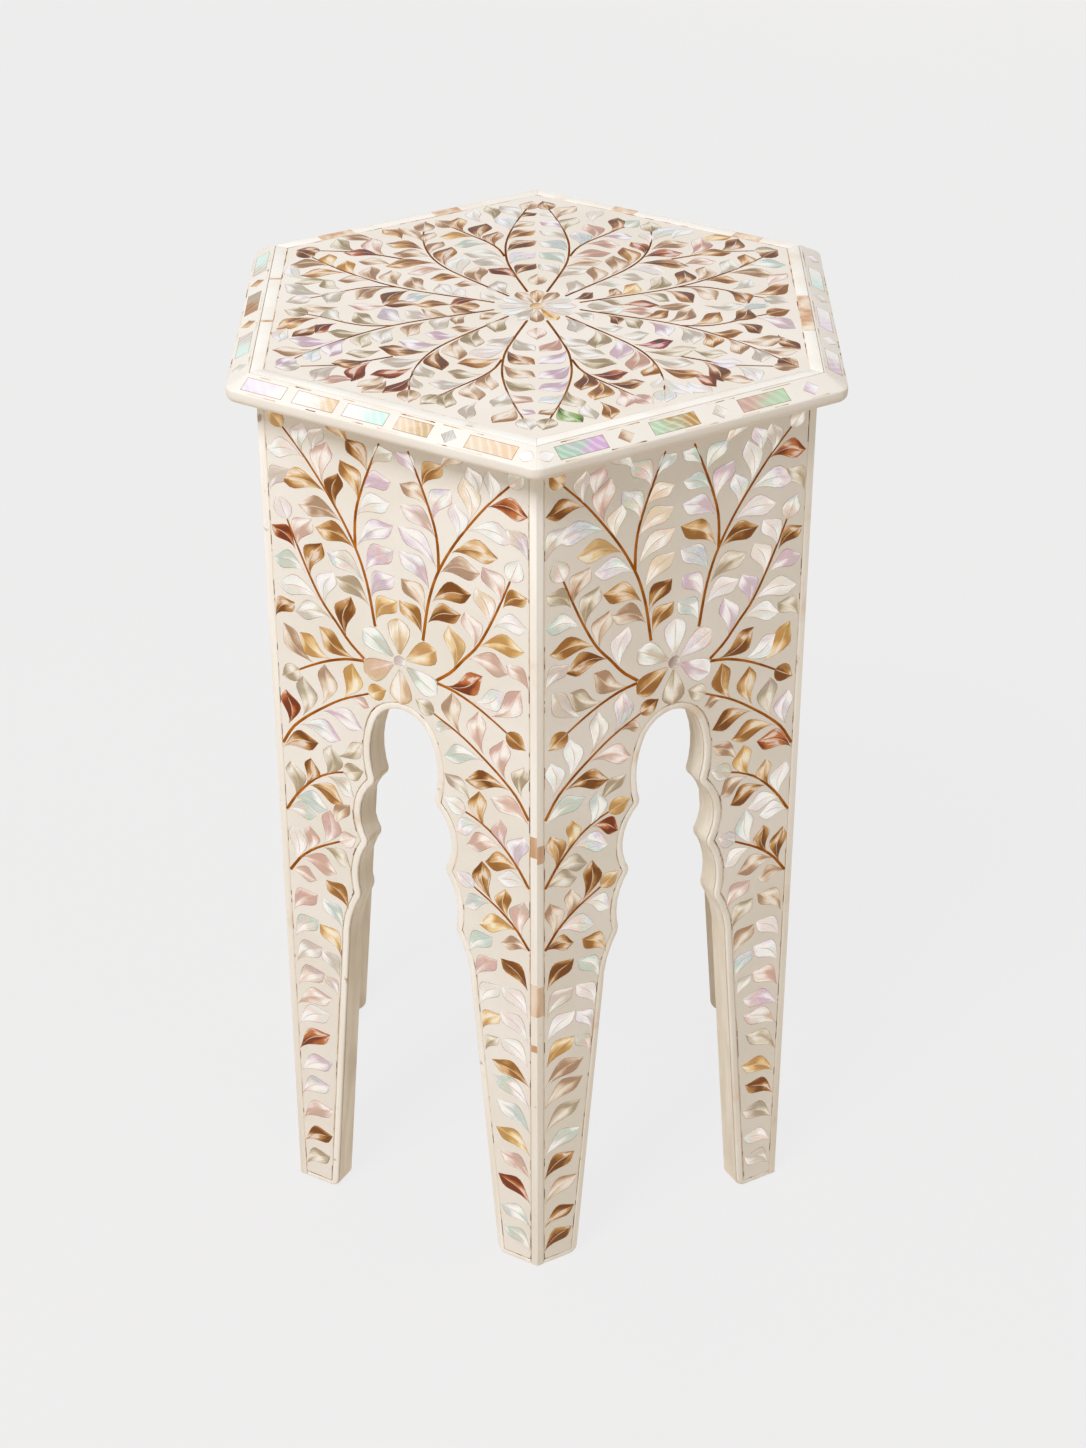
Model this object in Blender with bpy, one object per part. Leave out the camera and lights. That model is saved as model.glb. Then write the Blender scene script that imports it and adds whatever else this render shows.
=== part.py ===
"""Hexagonal inlaid side table: six mitred panels with scalloped arches, under a bevelled hexagonal top.

Run with: blender --background --python part.py
Units are metres, +Z is up, and the origin is on the floor under the middle of the table.
One corner of the hexagon faces the front, which is -Y.
"""

import math

import bmesh
import bpy
from mathutils import Vector

# Overall sizes
TABLE_HEIGHT = 0.560
TOP_ACROSS_FLATS = 0.3334
TOP_OVERHANG = 0.0156

# Top: core board, inlaid field, bone stringing and bevelled rim
TOP_THICKNESS = 0.0145
INLAY_THICKNESS = 0.0020
STRINGING_WIDTH = 0.0072
STRINGING_ON_BOARD = 0.0036
RIM_SLOPE_WIDTH = 0.0128
RIM_SLOPE_DROP = 0.0068
RIM_EDGE_ROUND = 0.0040
RIM_ROUND_STEPS = 5
RIM_CORNER_ROUND = 0.0085
RIM_CORNER_STEPS = 4

# Side panels, each with a wooden core and an inlaid face, and half a leg at each lower corner
CORE_THICKNESS = 0.0140
LEG_FACE_WIDTH = 0.0277
UPRIGHT_STRIP_WIDTH = 0.0045
EDGING_WIDTH = 0.0042
FOOT_EDGING_HEIGHT = 0.0045
FACE_LIFT = 0.0010

# Scalloped arch, one half, from the apex down to the floor: where its arcs meet, and how deep each one cuts
ARCH_APEX_HEIGHT = 0.3740
ARCH_HAUNCH_HALF_WIDTH, ARCH_HAUNCH_HEIGHT = 0.0174, 0.3629
ARCH_CUSP_1_HALF_WIDTH, ARCH_CUSP_1_HEIGHT = 0.0197, 0.3190
ARCH_CUSP_2_HALF_WIDTH, ARCH_CUSP_2_HEIGHT = 0.0260, 0.2755
ARCH_CUSP_3_HALF_WIDTH, ARCH_CUSP_3_HEIGHT = 0.0326, 0.2360
ARCH_SHOULDER_HALF_WIDTH, ARCH_SHOULDER_HEIGHT = 0.0428, 0.1980
ARCH_LOBE_DEPTHS = (0.0027, 0.0042, 0.0080, 0.0045, 0.0026)
ARCH_LOBE_STEPS = (5, 5, 7, 6, 4)
FOOT_ROUND = 0.0055
FOOT_ROUND_STEPS = 3

# Glue blocks in the corners under the top, and the screws that hold the top down
BLOCK_LEG = 0.032
BLOCK_DEPTH = 0.014
BLOCK_HEIGHT = 0.038
SCREW_SHANK_RADIUS = 0.0020
SCREW_HEAD_RADIUS = 0.0040
SCREW_HEAD_RIM = 0.0004
SCREW_HEAD_CONE = 0.0024
SCREW_TIP_LENGTH = 0.0040
WOOD_OVER_SCREW = 0.0035
SCREW_SIDES = 12

# Gap left at every glue line and seat
JOINT_GAP = 0.0003

# Points closer than this are one point
MERGE_DISTANCE = 0.000001

# Heights and apothems that follow from the sizes above
SIDES = 6
HALF_SIDE = math.pi / SIDES
UNDER_TOP = TABLE_HEIGHT - TOP_THICKNESS
BODY_TOP = UNDER_TOP - JOINT_GAP
TOP_APOTHEM = TOP_ACROSS_FLATS / 2
BAND_APOTHEM = TOP_APOTHEM - RIM_SLOPE_WIDTH
FIELD_APOTHEM = BAND_APOTHEM - STRINGING_WIDTH
BOARD_APOTHEM = FIELD_APOTHEM + STRINGING_ON_BOARD
FACE_APOTHEM = TOP_APOTHEM - TOP_OVERHANG
CORE_APOTHEM = FACE_APOTHEM - INLAY_THICKNESS
INNER_APOTHEM = CORE_APOTHEM - CORE_THICKNESS
BOARD_TOP = TABLE_HEIGHT - INLAY_THICKNESS - JOINT_GAP
HALF_FACE = FACE_APOTHEM * math.tan(HALF_SIDE)
ARCH_FOOT_HALF_WIDTH = HALF_FACE - LEG_FACE_WIDTH
BLOCK_CORNER_RADIUS = (INNER_APOTHEM - JOINT_GAP) / math.cos(HALF_SIDE)
BLOCK_REACH = BLOCK_LEG * math.sin(HALF_SIDE) + BLOCK_DEPTH * math.cos(HALF_SIDE)

PANEL_PLACES = ("right", "back_right", "back_left", "left", "front_left", "front_right")
CORNER_PLACES = ("back_right", "back", "back_left", "front_left", "front", "front_right")
LEFT, RIGHT = -1, 1
TURN = 2 * math.pi / SIDES
SHARP_ANGLE = math.radians(35)

BONE = ("bone", (0.800, 0.715, 0.580), 0.30, 0.0)
RESIN = ("ivory_resin", (0.750, 0.675, 0.560), 0.32, 0.0)
LACQUER = ("cream_lacquer", (0.720, 0.640, 0.520), 0.40, 0.0)
BARE_WOOD = ("bare_wood", (0.500, 0.340, 0.190), 0.70, 0.0)
STEEL = ("screw_steel", (0.560, 0.560, 0.570), 0.35, 1.0)


def clear_scene():
    for old in list(bpy.data.objects):
        bpy.data.objects.remove(old, do_unlink=True)


def material(finish):
    """A Principled material for a (name, colour, roughness, metallic) finish, made once."""
    name, colour, roughness, metallic = finish
    made = bpy.data.materials.get(name)
    if made is None:
        made = bpy.data.materials.new(name)
        made.use_nodes = True
        shader = made.node_tree.nodes["Principled BSDF"]
        shader.inputs["Base Color"].default_value = (*colour, 1.0)
        shader.inputs["Roughness"].default_value = roughness
        shader.inputs["Metallic"].default_value = metallic
    return made


def mesh_from(shape, name, finish):
    """Turns a bmesh into a mesh with its faces pointing out and its finish set."""
    bmesh.ops.recalc_face_normals(shape, faces=shape.faces)
    mesh = bpy.data.meshes.new(name)
    shape.to_mesh(mesh)
    shape.free()
    mesh.materials.append(material(finish))
    mesh.shade_smooth()
    mesh.set_sharp_from_angle(angle=SHARP_ANGLE)
    return mesh


def place(name, mesh, angle=0.0):
    made = bpy.data.objects.new(name, mesh)
    made.rotation_euler.z = angle
    bpy.context.scene.collection.objects.link(made)
    return made


def place_on_sides(prefix, mesh):
    """One object for each side of the hexagon. The mesh is modelled on the +X side."""
    return [place(f"{prefix}_{where}", mesh, k * TURN) for k, where in enumerate(PANEL_PLACES)]


def place_on_corners(prefix, mesh):
    """One object for each corner. The mesh is modelled with its corner on +X."""
    return [place(f"{prefix}_{where}", mesh, (k + 0.5) * TURN) for k, where in enumerate(CORNER_PLACES)]


def extruded(outline, along):
    """A closed prism, made by pushing a flat outline along a vector, and its far points."""
    shape = bmesh.new()
    face = shape.faces.new([shape.verts.new(point) for point in outline])
    pushed = bmesh.ops.extrude_face_region(shape, geom=[face], use_keep_orig=True)
    far = [item for item in pushed["geom"] if isinstance(item, bmesh.types.BMVert)]
    bmesh.ops.translate(shape, verts=far, vec=Vector(along))
    return shape, far


def half_length(apothem):
    """Half the length of a mitred piece at this distance from the middle, less half a glue gap."""
    return apothem * math.tan(HALF_SIDE) - JOINT_GAP / 2 / math.cos(HALF_SIDE)


def mitred_prism(profile):
    """A moulding on the +X side from a profile of (apothem, height), its ends cut on the mitre planes."""
    outline = [(apothem, -half_length(apothem), height) for apothem, height in profile]
    shape, far = extruded(outline, (0, 0, 0))
    for vertex in far:
        vertex.co.y = half_length(vertex.co.x)
    return shape


def round_ended_section(profile, turn):
    """The profile of a moulding where its round corner has turned this far from the straight run."""
    section = []
    for apothem, height in profile:
        radius = max(0.0, RIM_CORNER_ROUND - (TOP_APOTHEM - apothem))
        centre = apothem - radius
        section.append((centre + radius * math.cos(turn), half_length(centre) + radius * math.sin(turn), height))
    return section


def round_cornered_moulding(profile):
    """A mitred moulding whose outer edge turns round the corners, lofted through sections at both ends."""
    turns = [HALF_SIDE * (1 - step / RIM_CORNER_STEPS) for step in range(RIM_CORNER_STEPS + 1)]
    far_end = [round_ended_section(profile, turn) for turn in turns]
    near_end = [[(x, -y, z) for x, y, z in section] for section in reversed(far_end)]
    shape = bmesh.new()
    rings = [[shape.verts.new(point) for point in section] for section in far_end + near_end]
    for ring, following in zip(rings, rings[1:]):
        for k in range(len(profile)):
            shape.faces.new((ring[k - 1], ring[k], following[k], following[k - 1]))
    shape.faces.new(rings[0])
    shape.faces.new(rings[-1])
    bmesh.ops.remove_doubles(shape, verts=shape.verts, dist=MERGE_DISTANCE)
    return shape


def hexagon_plate(apothem, low, high):
    corner = apothem / math.cos(HALF_SIDE)
    outline = [
        (corner * math.cos((k + 0.5) * TURN), corner * math.sin((k + 0.5) * TURN), low) for k in range(SIDES)
    ]
    return extruded(outline, (0, 0, high - low))[0]


def arc(centre, radius, start, end, steps):
    """Points along a circle between two angles, both ends included."""
    angles = [start + (end - start) * step / steps for step in range(steps + 1)]
    return [(centre[0] + radius * math.cos(a), centre[1] + radius * math.sin(a)) for a in angles]


def lobe_circle(upper, lower, depth):
    """Centre and radius of the lobe between two cusps, cut the given depth into the panel."""
    chord = Vector(lower) - Vector(upper)
    outward = Vector((-chord.y, chord.x)).normalized()
    radius = (chord.length**2 / 4 + depth**2) / (2 * depth)
    middle = (Vector(upper) + Vector(lower)) / 2
    return middle - outward * (radius - depth), radius


def circles_meet(first, second):
    """The point where two lobes cross, on the panel's side of both centres."""
    (centre_1, radius_1), (centre_2, radius_2) = first, second
    between = centre_2 - centre_1
    reach = (radius_1**2 - radius_2**2 + between.length**2) / (2 * between.length)
    rise = math.sqrt(max(0.0, radius_1**2 - reach**2))
    along = between.normalized()
    across = Vector((-along.y, along.x))
    foot = centre_1 + along * reach
    return max(foot + across * rise, foot - across * rise, key=lambda point: point.x)


def circle_meets_line(circle, point, direction):
    """Where a lobe crosses the straight line through a point, at the crossing nearest to that point."""
    centre, radius = circle
    along = direction.normalized()
    foot = point + along * (centre - point).dot(along)
    rise = math.sqrt(max(0.0, radius**2 - (foot - centre).length_squared))
    return min(foot + along * rise, foot - along * rise, key=lambda found: (found - point).length)


def arch_half(offset, floor, round_foot):
    """Half of the arch, from its apex down to the height called floor, set into the panel by an offset."""
    cusps = (
        (0.0, ARCH_APEX_HEIGHT),
        (ARCH_HAUNCH_HALF_WIDTH, ARCH_HAUNCH_HEIGHT),
        (ARCH_CUSP_1_HALF_WIDTH, ARCH_CUSP_1_HEIGHT),
        (ARCH_CUSP_2_HALF_WIDTH, ARCH_CUSP_2_HEIGHT),
        (ARCH_CUSP_3_HALF_WIDTH, ARCH_CUSP_3_HEIGHT),
        (ARCH_SHOULDER_HALF_WIDTH, ARCH_SHOULDER_HEIGHT),
    )
    circles = []
    for upper, lower, depth in zip(cusps, cusps[1:], ARCH_LOBE_DEPTHS):
        centre, radius = lobe_circle(upper, lower, depth)
        circles.append((centre, radius + offset))

    # The straight inside edge of the leg, from the shoulder to the floor
    leg = Vector((ARCH_FOOT_HALF_WIDTH, 0.0)) - Vector(cusps[-1])
    leg_side = Vector((-leg.y, leg.x)).normalized() * offset
    leg_top = Vector(cusps[-1]) + leg_side
    leg_foot = leg_top + leg * ((leg_top.y - floor) / -leg.y)

    head_centre, head_radius = circles[0]
    joints = [Vector((0.0, head_centre.y + math.sqrt(head_radius**2 - head_centre.x**2)))]
    joints += [circles_meet(first, second) for first, second in zip(circles, circles[1:])]
    joints.append(circle_meets_line(circles[-1], leg_top, leg))

    points = []
    for (centre, radius), start, end, steps in zip(circles, joints, joints[1:], ARCH_LOBE_STEPS):
        first = math.atan2(start.y - centre.y, start.x - centre.x)
        last = math.atan2(end.y - centre.y, end.x - centre.x)
        points += arc(centre, radius, first, last, steps)[:-1]
    points.append(tuple(joints[-1]))

    if not round_foot:
        return points + [tuple(leg_foot)]
    return points + rounded_corner(joints[-1], leg_foot, leg_foot + Vector((1.0, 0.0)))


def rounded_corner(before, corner, after):
    """Points of a round of FOOT_ROUND in the corner between two straight edges."""
    incoming = (Vector(before) - Vector(corner)).normalized()
    outgoing = (Vector(after) - Vector(corner)).normalized()
    half_angle = incoming.angle(outgoing) / 2
    bisector = (incoming + outgoing).normalized()
    centre = Vector(corner) + bisector * (FOOT_ROUND / math.sin(half_angle))
    touch_in = Vector(corner) + incoming * (FOOT_ROUND / math.tan(half_angle))
    touch_out = Vector(corner) + outgoing * (FOOT_ROUND / math.tan(half_angle))
    start = math.atan2(touch_in.y - centre.y, touch_in.x - centre.x)
    turn = (touch_in - centre).angle_signed(touch_out - centre)
    return arc(centre, FOOT_ROUND, start, start - turn, FOOT_ROUND_STEPS)


def both_halves(half):
    """The whole arch outline, from the foot at -Y over the apex to the foot at +Y."""
    mirrored = [(-across, height) for across, height in reversed(half)]
    return mirrored[:-1] + half


def upright(outline, apothem):
    """An outline of (across, height) stood up on the +X side at this distance from the middle."""
    return [(apothem, across, height) for across, height in outline]


def side_panel():
    """The wooden core of one side: a scalloped board with mitred upright edges."""
    half = half_length(CORE_APOTHEM - JOINT_GAP)
    arch = both_halves(arch_half(0.0, 0.0, True))
    outline = [(-half, 0.0), *arch, (half, 0.0), (half, BODY_TOP), (-half, BODY_TOP)]
    shape, far = extruded(upright(outline, CORE_APOTHEM - JOINT_GAP), (-CORE_THICKNESS + JOINT_GAP, 0, 0))
    for vertex in far:
        if abs(abs(vertex.co.y) - half) < JOINT_GAP:
            vertex.co.y = math.copysign(half_length(vertex.co.x), vertex.co.y)
    return mesh_from(shape, "side_panel", LACQUER)


def side_inlay_field():
    """The resin face that holds the mother-of-pearl, inside the bone edging."""
    half = HALF_FACE - UPRIGHT_STRIP_WIDTH - JOINT_GAP
    bottom = FOOT_EDGING_HEIGHT + JOINT_GAP
    arch = both_halves(arch_half(EDGING_WIDTH + JOINT_GAP, bottom, False))
    outline = [(-half, bottom), *arch, (half, bottom), (half, BODY_TOP), (-half, BODY_TOP)]
    shape = extruded(upright(outline, FACE_APOTHEM), (-INLAY_THICKNESS, 0, 0))[0]
    return mesh_from(shape, "side_inlay_field", RESIN)


def arch_edging():
    """The bone strip that follows the arch and runs out along both feet."""
    half = HALF_FACE - UPRIGHT_STRIP_WIDTH - JOINT_GAP
    outer = both_halves(arch_half(0.0, FACE_LIFT, True))
    inner = both_halves(arch_half(EDGING_WIDTH, FOOT_EDGING_HEIGHT, False))
    outline = [
        (-half, FACE_LIFT),
        *outer,
        (half, FACE_LIFT),
        (half, FOOT_EDGING_HEIGHT),
        *reversed(inner),
        (-half, FOOT_EDGING_HEIGHT),
    ]
    shape = extruded(upright(outline, FACE_APOTHEM), (-INLAY_THICKNESS, 0, 0))[0]
    return mesh_from(shape, "arch_edging", BONE)


def upright_strip(side, name):
    """The bone strip along one upright edge of a side, mitred against its neighbour round the corner."""
    inner = side * (HALF_FACE - UPRIGHT_STRIP_WIDTH)
    plan = [
        (FACE_APOTHEM, inner),
        (FACE_APOTHEM, side * half_length(FACE_APOTHEM)),
        (CORE_APOTHEM, side * half_length(CORE_APOTHEM)),
        (CORE_APOTHEM, inner),
    ]
    outline = [(*point, FACE_LIFT) for point in plan]
    shape = extruded(outline, (0, 0, BODY_TOP - FACE_LIFT))[0]
    return mesh_from(shape, name, BONE)


def top_board():
    return mesh_from(hexagon_plate(BOARD_APOTHEM, UNDER_TOP, BOARD_TOP), "top_board", LACQUER)


def top_inlay_field():
    plate = hexagon_plate(FIELD_APOTHEM - JOINT_GAP, BOARD_TOP + JOINT_GAP, TABLE_HEIGHT)
    return mesh_from(plate, "top_inlay_field", RESIN)


def top_stringing():
    """One bone strip of the frame round the top's field."""
    low, inner, outer = BOARD_TOP + JOINT_GAP, FIELD_APOTHEM, BAND_APOTHEM - JOINT_GAP
    profile = [(inner, low), (outer, low), (outer, TABLE_HEIGHT), (inner, TABLE_HEIGHT)]
    return mesh_from(mitred_prism(profile), "top_stringing", BONE)


def top_rim():
    """One bevelled moulding of the rim, rebated on its inner edge for the stringing."""
    inner = BOARD_APOTHEM + JOINT_GAP
    round_centre = (TOP_APOTHEM - RIM_EDGE_ROUND, UNDER_TOP + RIM_EDGE_ROUND)
    profile = [
        (inner, UNDER_TOP),
        *arc(round_centre, RIM_EDGE_ROUND, -math.pi / 2, 0.0, RIM_ROUND_STEPS),
        (TOP_APOTHEM, TABLE_HEIGHT - RIM_SLOPE_DROP),
        (BAND_APOTHEM, TABLE_HEIGHT),
        (BAND_APOTHEM, BOARD_TOP),
        (inner, BOARD_TOP),
    ]
    return mesh_from(round_cornered_moulding(profile), "top_rim", BONE)


def corner_block():
    """A glue block for the inside of one corner, with its two long sides flat on the panels."""
    corner = Vector((BLOCK_CORNER_RADIUS, 0.0))
    along = Vector((-math.sin(HALF_SIDE), math.cos(HALF_SIDE)))
    inward = Vector((-math.cos(HALF_SIDE), -math.sin(HALF_SIDE)))
    end = corner + along * BLOCK_LEG
    half = [end, end + inward * BLOCK_DEPTH]
    plan = [corner, *half, *[Vector((point.x, -point.y)) for point in reversed(half)]]
    low = BODY_TOP - BLOCK_HEIGHT
    outline = [(point.x, point.y, low) for point in plan]
    shape = extruded(outline, (0, 0, BLOCK_HEIGHT))[0]
    return mesh_from(shape, "corner_block", BARE_WOOD)


def screw(clearance, name):
    """A countersunk screw driven up through a block into the board, or its hole if given a clearance."""
    axis_radius = BLOCK_CORNER_RADIUS - BLOCK_REACH / 2
    head_low = BODY_TOP - BLOCK_HEIGHT + JOINT_GAP
    head_rim = head_low + SCREW_HEAD_RIM
    tip = BOARD_TOP - WOOD_OVER_SCREW
    head = SCREW_HEAD_RADIUS + clearance
    shank = SCREW_SHANK_RADIUS + clearance
    profile = [
        (0.0, head_low - 2 * clearance),
        (head, head_low - 2 * clearance),
        (head, head_rim),
        (shank, head_rim + SCREW_HEAD_CONE),
        (shank, tip - SCREW_TIP_LENGTH),
        (0.0, tip + clearance),
    ]
    shape = bmesh.new()
    points = [shape.verts.new((axis_radius + radius, 0, height)) for radius, height in profile]
    edges = [shape.edges.new(pair) for pair in zip(points, points[1:])]
    bmesh.ops.spin(
        shape,
        geom=points + edges,
        cent=(axis_radius, 0, 0),
        axis=(0, 0, 1),
        angle=2 * math.pi,
        steps=SCREW_SIDES,
        use_merge=True,
    )
    bmesh.ops.remove_doubles(shape, verts=shape.verts, dist=MERGE_DISTANCE)
    return mesh_from(shape, name, STEEL)


def drill(piece, cutter):
    """Cuts a hidden helper object out of a piece."""
    cutter.hide_render = True
    cutter.display_type = "WIRE"
    cut = piece.modifiers.new(f"hole_{cutter.name}", "BOOLEAN")
    cut.operation = "DIFFERENCE"
    cut.solver = "EXACT"
    cut.object = cutter


def build_top():
    board = place("top_board", top_board())
    place("top_inlay_field", top_inlay_field())
    place_on_sides("top_stringing", top_stringing())
    place_on_sides("top_rim", top_rim())
    return board


def build_body():
    place_on_sides("side_panel", side_panel())
    place_on_sides("side_inlay_field", side_inlay_field())
    place_on_sides("arch_edging", arch_edging())
    place_on_sides("left_upright_strip", upright_strip(LEFT, "left_upright_strip"))
    place_on_sides("right_upright_strip", upright_strip(RIGHT, "right_upright_strip"))


def build_fixings(board):
    blocks = place_on_corners("corner_block", corner_block())
    place_on_corners("top_screw", screw(0.0, "top_screw"))
    holes = place_on_corners("screw_hole", screw(JOINT_GAP, "screw_hole"))
    for block, hole in zip(blocks, holes):
        drill(block, hole)
        drill(board, hole)


def main():
    clear_scene()
    board = build_top()
    build_body()
    build_fixings(board)


main()
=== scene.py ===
"""Looks of the inlaid side table: ivory resin, bone edging, and mother-of-pearl leaves on brown stems."""

import math
import random
from collections import namedtuple
from contextlib import contextmanager
from functools import reduce
from itertools import product

import bpy
import numpy as np
from mathutils import Matrix, Vector


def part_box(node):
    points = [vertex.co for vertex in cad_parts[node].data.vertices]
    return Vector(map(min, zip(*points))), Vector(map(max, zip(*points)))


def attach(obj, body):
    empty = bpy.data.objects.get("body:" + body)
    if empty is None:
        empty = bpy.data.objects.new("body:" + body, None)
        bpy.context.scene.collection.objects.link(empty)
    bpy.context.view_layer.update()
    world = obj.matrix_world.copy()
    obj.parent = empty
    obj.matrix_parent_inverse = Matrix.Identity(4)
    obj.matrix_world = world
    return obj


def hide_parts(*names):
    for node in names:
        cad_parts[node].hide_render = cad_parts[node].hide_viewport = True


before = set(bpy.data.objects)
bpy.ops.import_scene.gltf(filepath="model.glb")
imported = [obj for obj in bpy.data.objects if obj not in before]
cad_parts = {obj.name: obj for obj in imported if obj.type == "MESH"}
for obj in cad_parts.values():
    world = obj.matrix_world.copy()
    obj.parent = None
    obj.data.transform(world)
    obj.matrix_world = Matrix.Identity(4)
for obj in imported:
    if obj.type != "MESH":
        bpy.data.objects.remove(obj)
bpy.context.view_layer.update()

MM = 0.001
UP = Vector((0.0, 0.0, 1.0))
LEFT, RIGHT = 1, -1
SIDES = ("right", "back_right", "back_left", "left", "front_left", "front_right")
SIDE_TURN = math.radians(60)
MERGE = 0.00001
SIDE_SEED, TOP_SEED, RIM_SEED = 100, 200, 300

# Cosines: of a normal that faces a given way or well aside of it, and of a mitre's normal to its strip's run
FACING = 0.99
ASIDE = 0.5
MITRE_COSINES = (0.80, 0.95)
# Angles between faces: that still count as flat, at which a core is creased, and at which a cusp is rounded
FLAT_ANGLE = math.radians(0.5)
CORE_CREASE = math.radians(20)
CUSP_ANGLE = math.radians(25)

# Places that the frame gives
FACE_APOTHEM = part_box("side_inlay_field_right")[1].x
TOP_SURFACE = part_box("top_inlay_field")[1].z
RIM_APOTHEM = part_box("top_rim_right")[1].x
STRINGING_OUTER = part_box("top_stringing_right")[1].x

# Shell plates: how far they stand proud, how much their middle is crowned, and how deep they are set
SHELL_PROUD = 0.10 * MM
SHELL_CROWN = 0.22 * MM
SHELL_DEPTH = 0.80 * MM
HUB_PROUD = 2.5 * SHELL_PROUD
PLATE_MAP = "UVMap"
SHELL_TONES = ("shell_body", "shell_sheen")
SHELL_TURN = "shell_turn"

# Fields, joints and edges: how far they are sunk, inset, drawn out to a neighbour, softened or rounded
TOP_FIELD_SINK = 0.40 * MM
GLUE_LINE = 0.55 * MM
FIELD_REACH = 0.24 * MM
MITRE_REACH = 0.14 * MM
EDGING_SOFTENING = 0.9 * MM
STRIP_SOFTENING = 0.5 * MM
RIM_SOFTENING = 0.7 * MM
STRINGING_SOFTENING = 0.35 * MM
HUB_SOFTENING = 0.35 * MM
CUSP_ROUND = 3.2 * MM
CUSP_HEIGHTS = (150 * MM, 370 * MM)
ARRIS_RADIUS = 5.0 * MM
ARRIS_STEPS = (0, 10, 20)

# The pattern, in millimetres: clearances, how near its own foot a leaf may touch, and how far a leaf looks round
BORDER_CLEAR = 0.2
LEAF_CLEAR = 0.45
STEM_CLEAR = 0.5
AXIS_CLEAR = 0.2
NEAR_STEM = 9.0
NEAR_LEAF = 5.5
REACH = 30.0
SIDE_LEAF_WIDTH = 13.4
TOP_LEAF_WIDTH = 13.2
STEM_STEP = 5
STEM_LEAST_ROWS = 6
SIDE_STEM_WIDTHS = (1.9, 1.2)
TOP_STEM_WIDTHS = (1.5, 1.0)

# How much leaves differ from their plan, and the sizes tried in turn, as shares of length and girth
LENGTH_PLAY = (1.0, 1.06)
ANGLE_PLAY = (-2.5, 2.5)
GIRTH_PLAY = (0.94, 1.06)
LEAST_GIRTH, MOST_GIRTH = 0.84, 1.30
SMALLER = (
    (1.0, 1.0), (0.95, 1.0), (1.0, 0.9), (0.9, 1.0), (0.95, 0.9), (1.0, 0.8), (0.85, 1.0), (0.9, 0.88), (0.95, 0.78),
    (0.8, 1.0), (0.85, 0.85), (0.9, 0.75), (0.75, 1.0), (0.8, 0.82), (0.85, 0.7), (0.7, 0.95), (0.75, 0.78),
    (0.65, 0.95), (0.7, 0.72), (0.6, 0.9), (0.65, 0.7), (0.55, 0.85), (0.6, 0.62),
)

# Loose leaves that fill gaps: the least room for one, the grid of spots, and the lengths and sways tried
SIDE_FILL_ROOM = 6.6
TOP_FILL_ROOM = 5.4
FILL_STEP = 2.5
FILL_BATCHES = 40
FILL_MIDDLE = 0.55
FILL_LENGTHS = (22, 20, 18, 16, 14, 12.5)
FILL_SWAYS = (0, 20, -20, 40, -40, 60, -60, 85, -85)

# Camera, light and floor
TARGET = Vector((0.0033, 0.0, 0.2837))
CAMERA_DISTANCE = 1.7438
CAMERA_ELEVATION = math.radians(31.76)
LENS = 70.81
SENSOR = 36.0
Lamp = namedtuple("Lamp", "name direction size energy tone in_gloss")
LAMPS = (
    Lamp("key_lamp", (-0.33, -0.48, 0.81), 1.1, 87.0, (0.95, 1.0, 1.07), True),
    Lamp("back_lamp", (0.20, 0.97, 0.10), 1.3, 24.0, (1.0, 0.98, 0.95), False),
)
LAMP_DISTANCE = 3.6
LAMP_CENTRE = Vector((0.0, 0.0, 0.3))
WORLD_LIGHT = (1.0, 0.96, 0.90, 1.0)
WORLD_STRENGTH = 0.50
FLOOR_SIZE = 12.0
FLOOR_GLOW = 0.92

# Outlines as (along, upper edge, lower edge), all as shares of the length
LEAF_OUTLINE = (
    (0.00, 0.000, 0.000), (0.08, 0.052, 0.022), (0.18, 0.122, 0.022), (0.31, 0.212, 0.000), (0.44, 0.286, -0.050),
    (0.56, 0.324, -0.104), (0.66, 0.314, -0.140), (0.76, 0.240, -0.138), (0.87, 0.122, -0.082), (1.00, 0.000, 0.000),
)
LEAF_SHARE = max(upper - lower for along, upper, lower in LEAF_OUTLINE)
BUD_OUTLINE, PETAL_OUTLINE, DIAMOND_OUTLINE, RECTANGLE_OUTLINE = (
    tuple((along, half, -half) for along, half in halves)
    for halves in (
        ((0.00, 0.0), (0.07, 0.170), (0.20, 0.320), (0.38, 0.400), (0.56, 0.375), (0.73, 0.255), (0.87, 0.110),
         (1.00, 0.0)),
        ((0.00, 0.040), (0.14, 0.105), (0.30, 0.195), (0.46, 0.270), (0.62, 0.318), (0.77, 0.320), (0.89, 0.232),
         (0.96, 0.105), (1.00, 0.0)),
        ((0.00, 0.0), (0.50, 0.5), (1.00, 0.0)),
        ((0.00, 0.5), (0.33, 0.5), (0.67, 0.5), (1.00, 0.5)),
    )
)

# The plates that all others are copied from, and one such copy with its place on a face, in millimetres
Master = namedtuple("Master", "outline length hand crown")
MASTERS = {
    "leaf_right": Master(LEAF_OUTLINE, 25 * MM, 1, SHELL_CROWN),
    "leaf_left": Master(LEAF_OUTLINE, 25 * MM, -1, SHELL_CROWN),
    "bud": Master(BUD_OUTLINE, 13 * MM, 1, SHELL_CROWN),
    "petal": Master(PETAL_OUTLINE, 22 * MM, 1, SHELL_CROWN),
    "diamond": Master(DIAMOND_OUTLINE, 10 * MM, 1, 0.0),
    "rectangle": Master(RECTANGLE_OUTLINE, 30 * MM, 1, 0.0),
}
Leaf = namedtuple("Leaf", "kind base angle length girth shells turn")

# Painted shade on the top's shells: how much deeper their tones are, as a power of their linear values, for the darker
# reflections that the top shows
TOP_SHELL_SHADE = 1.3

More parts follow.
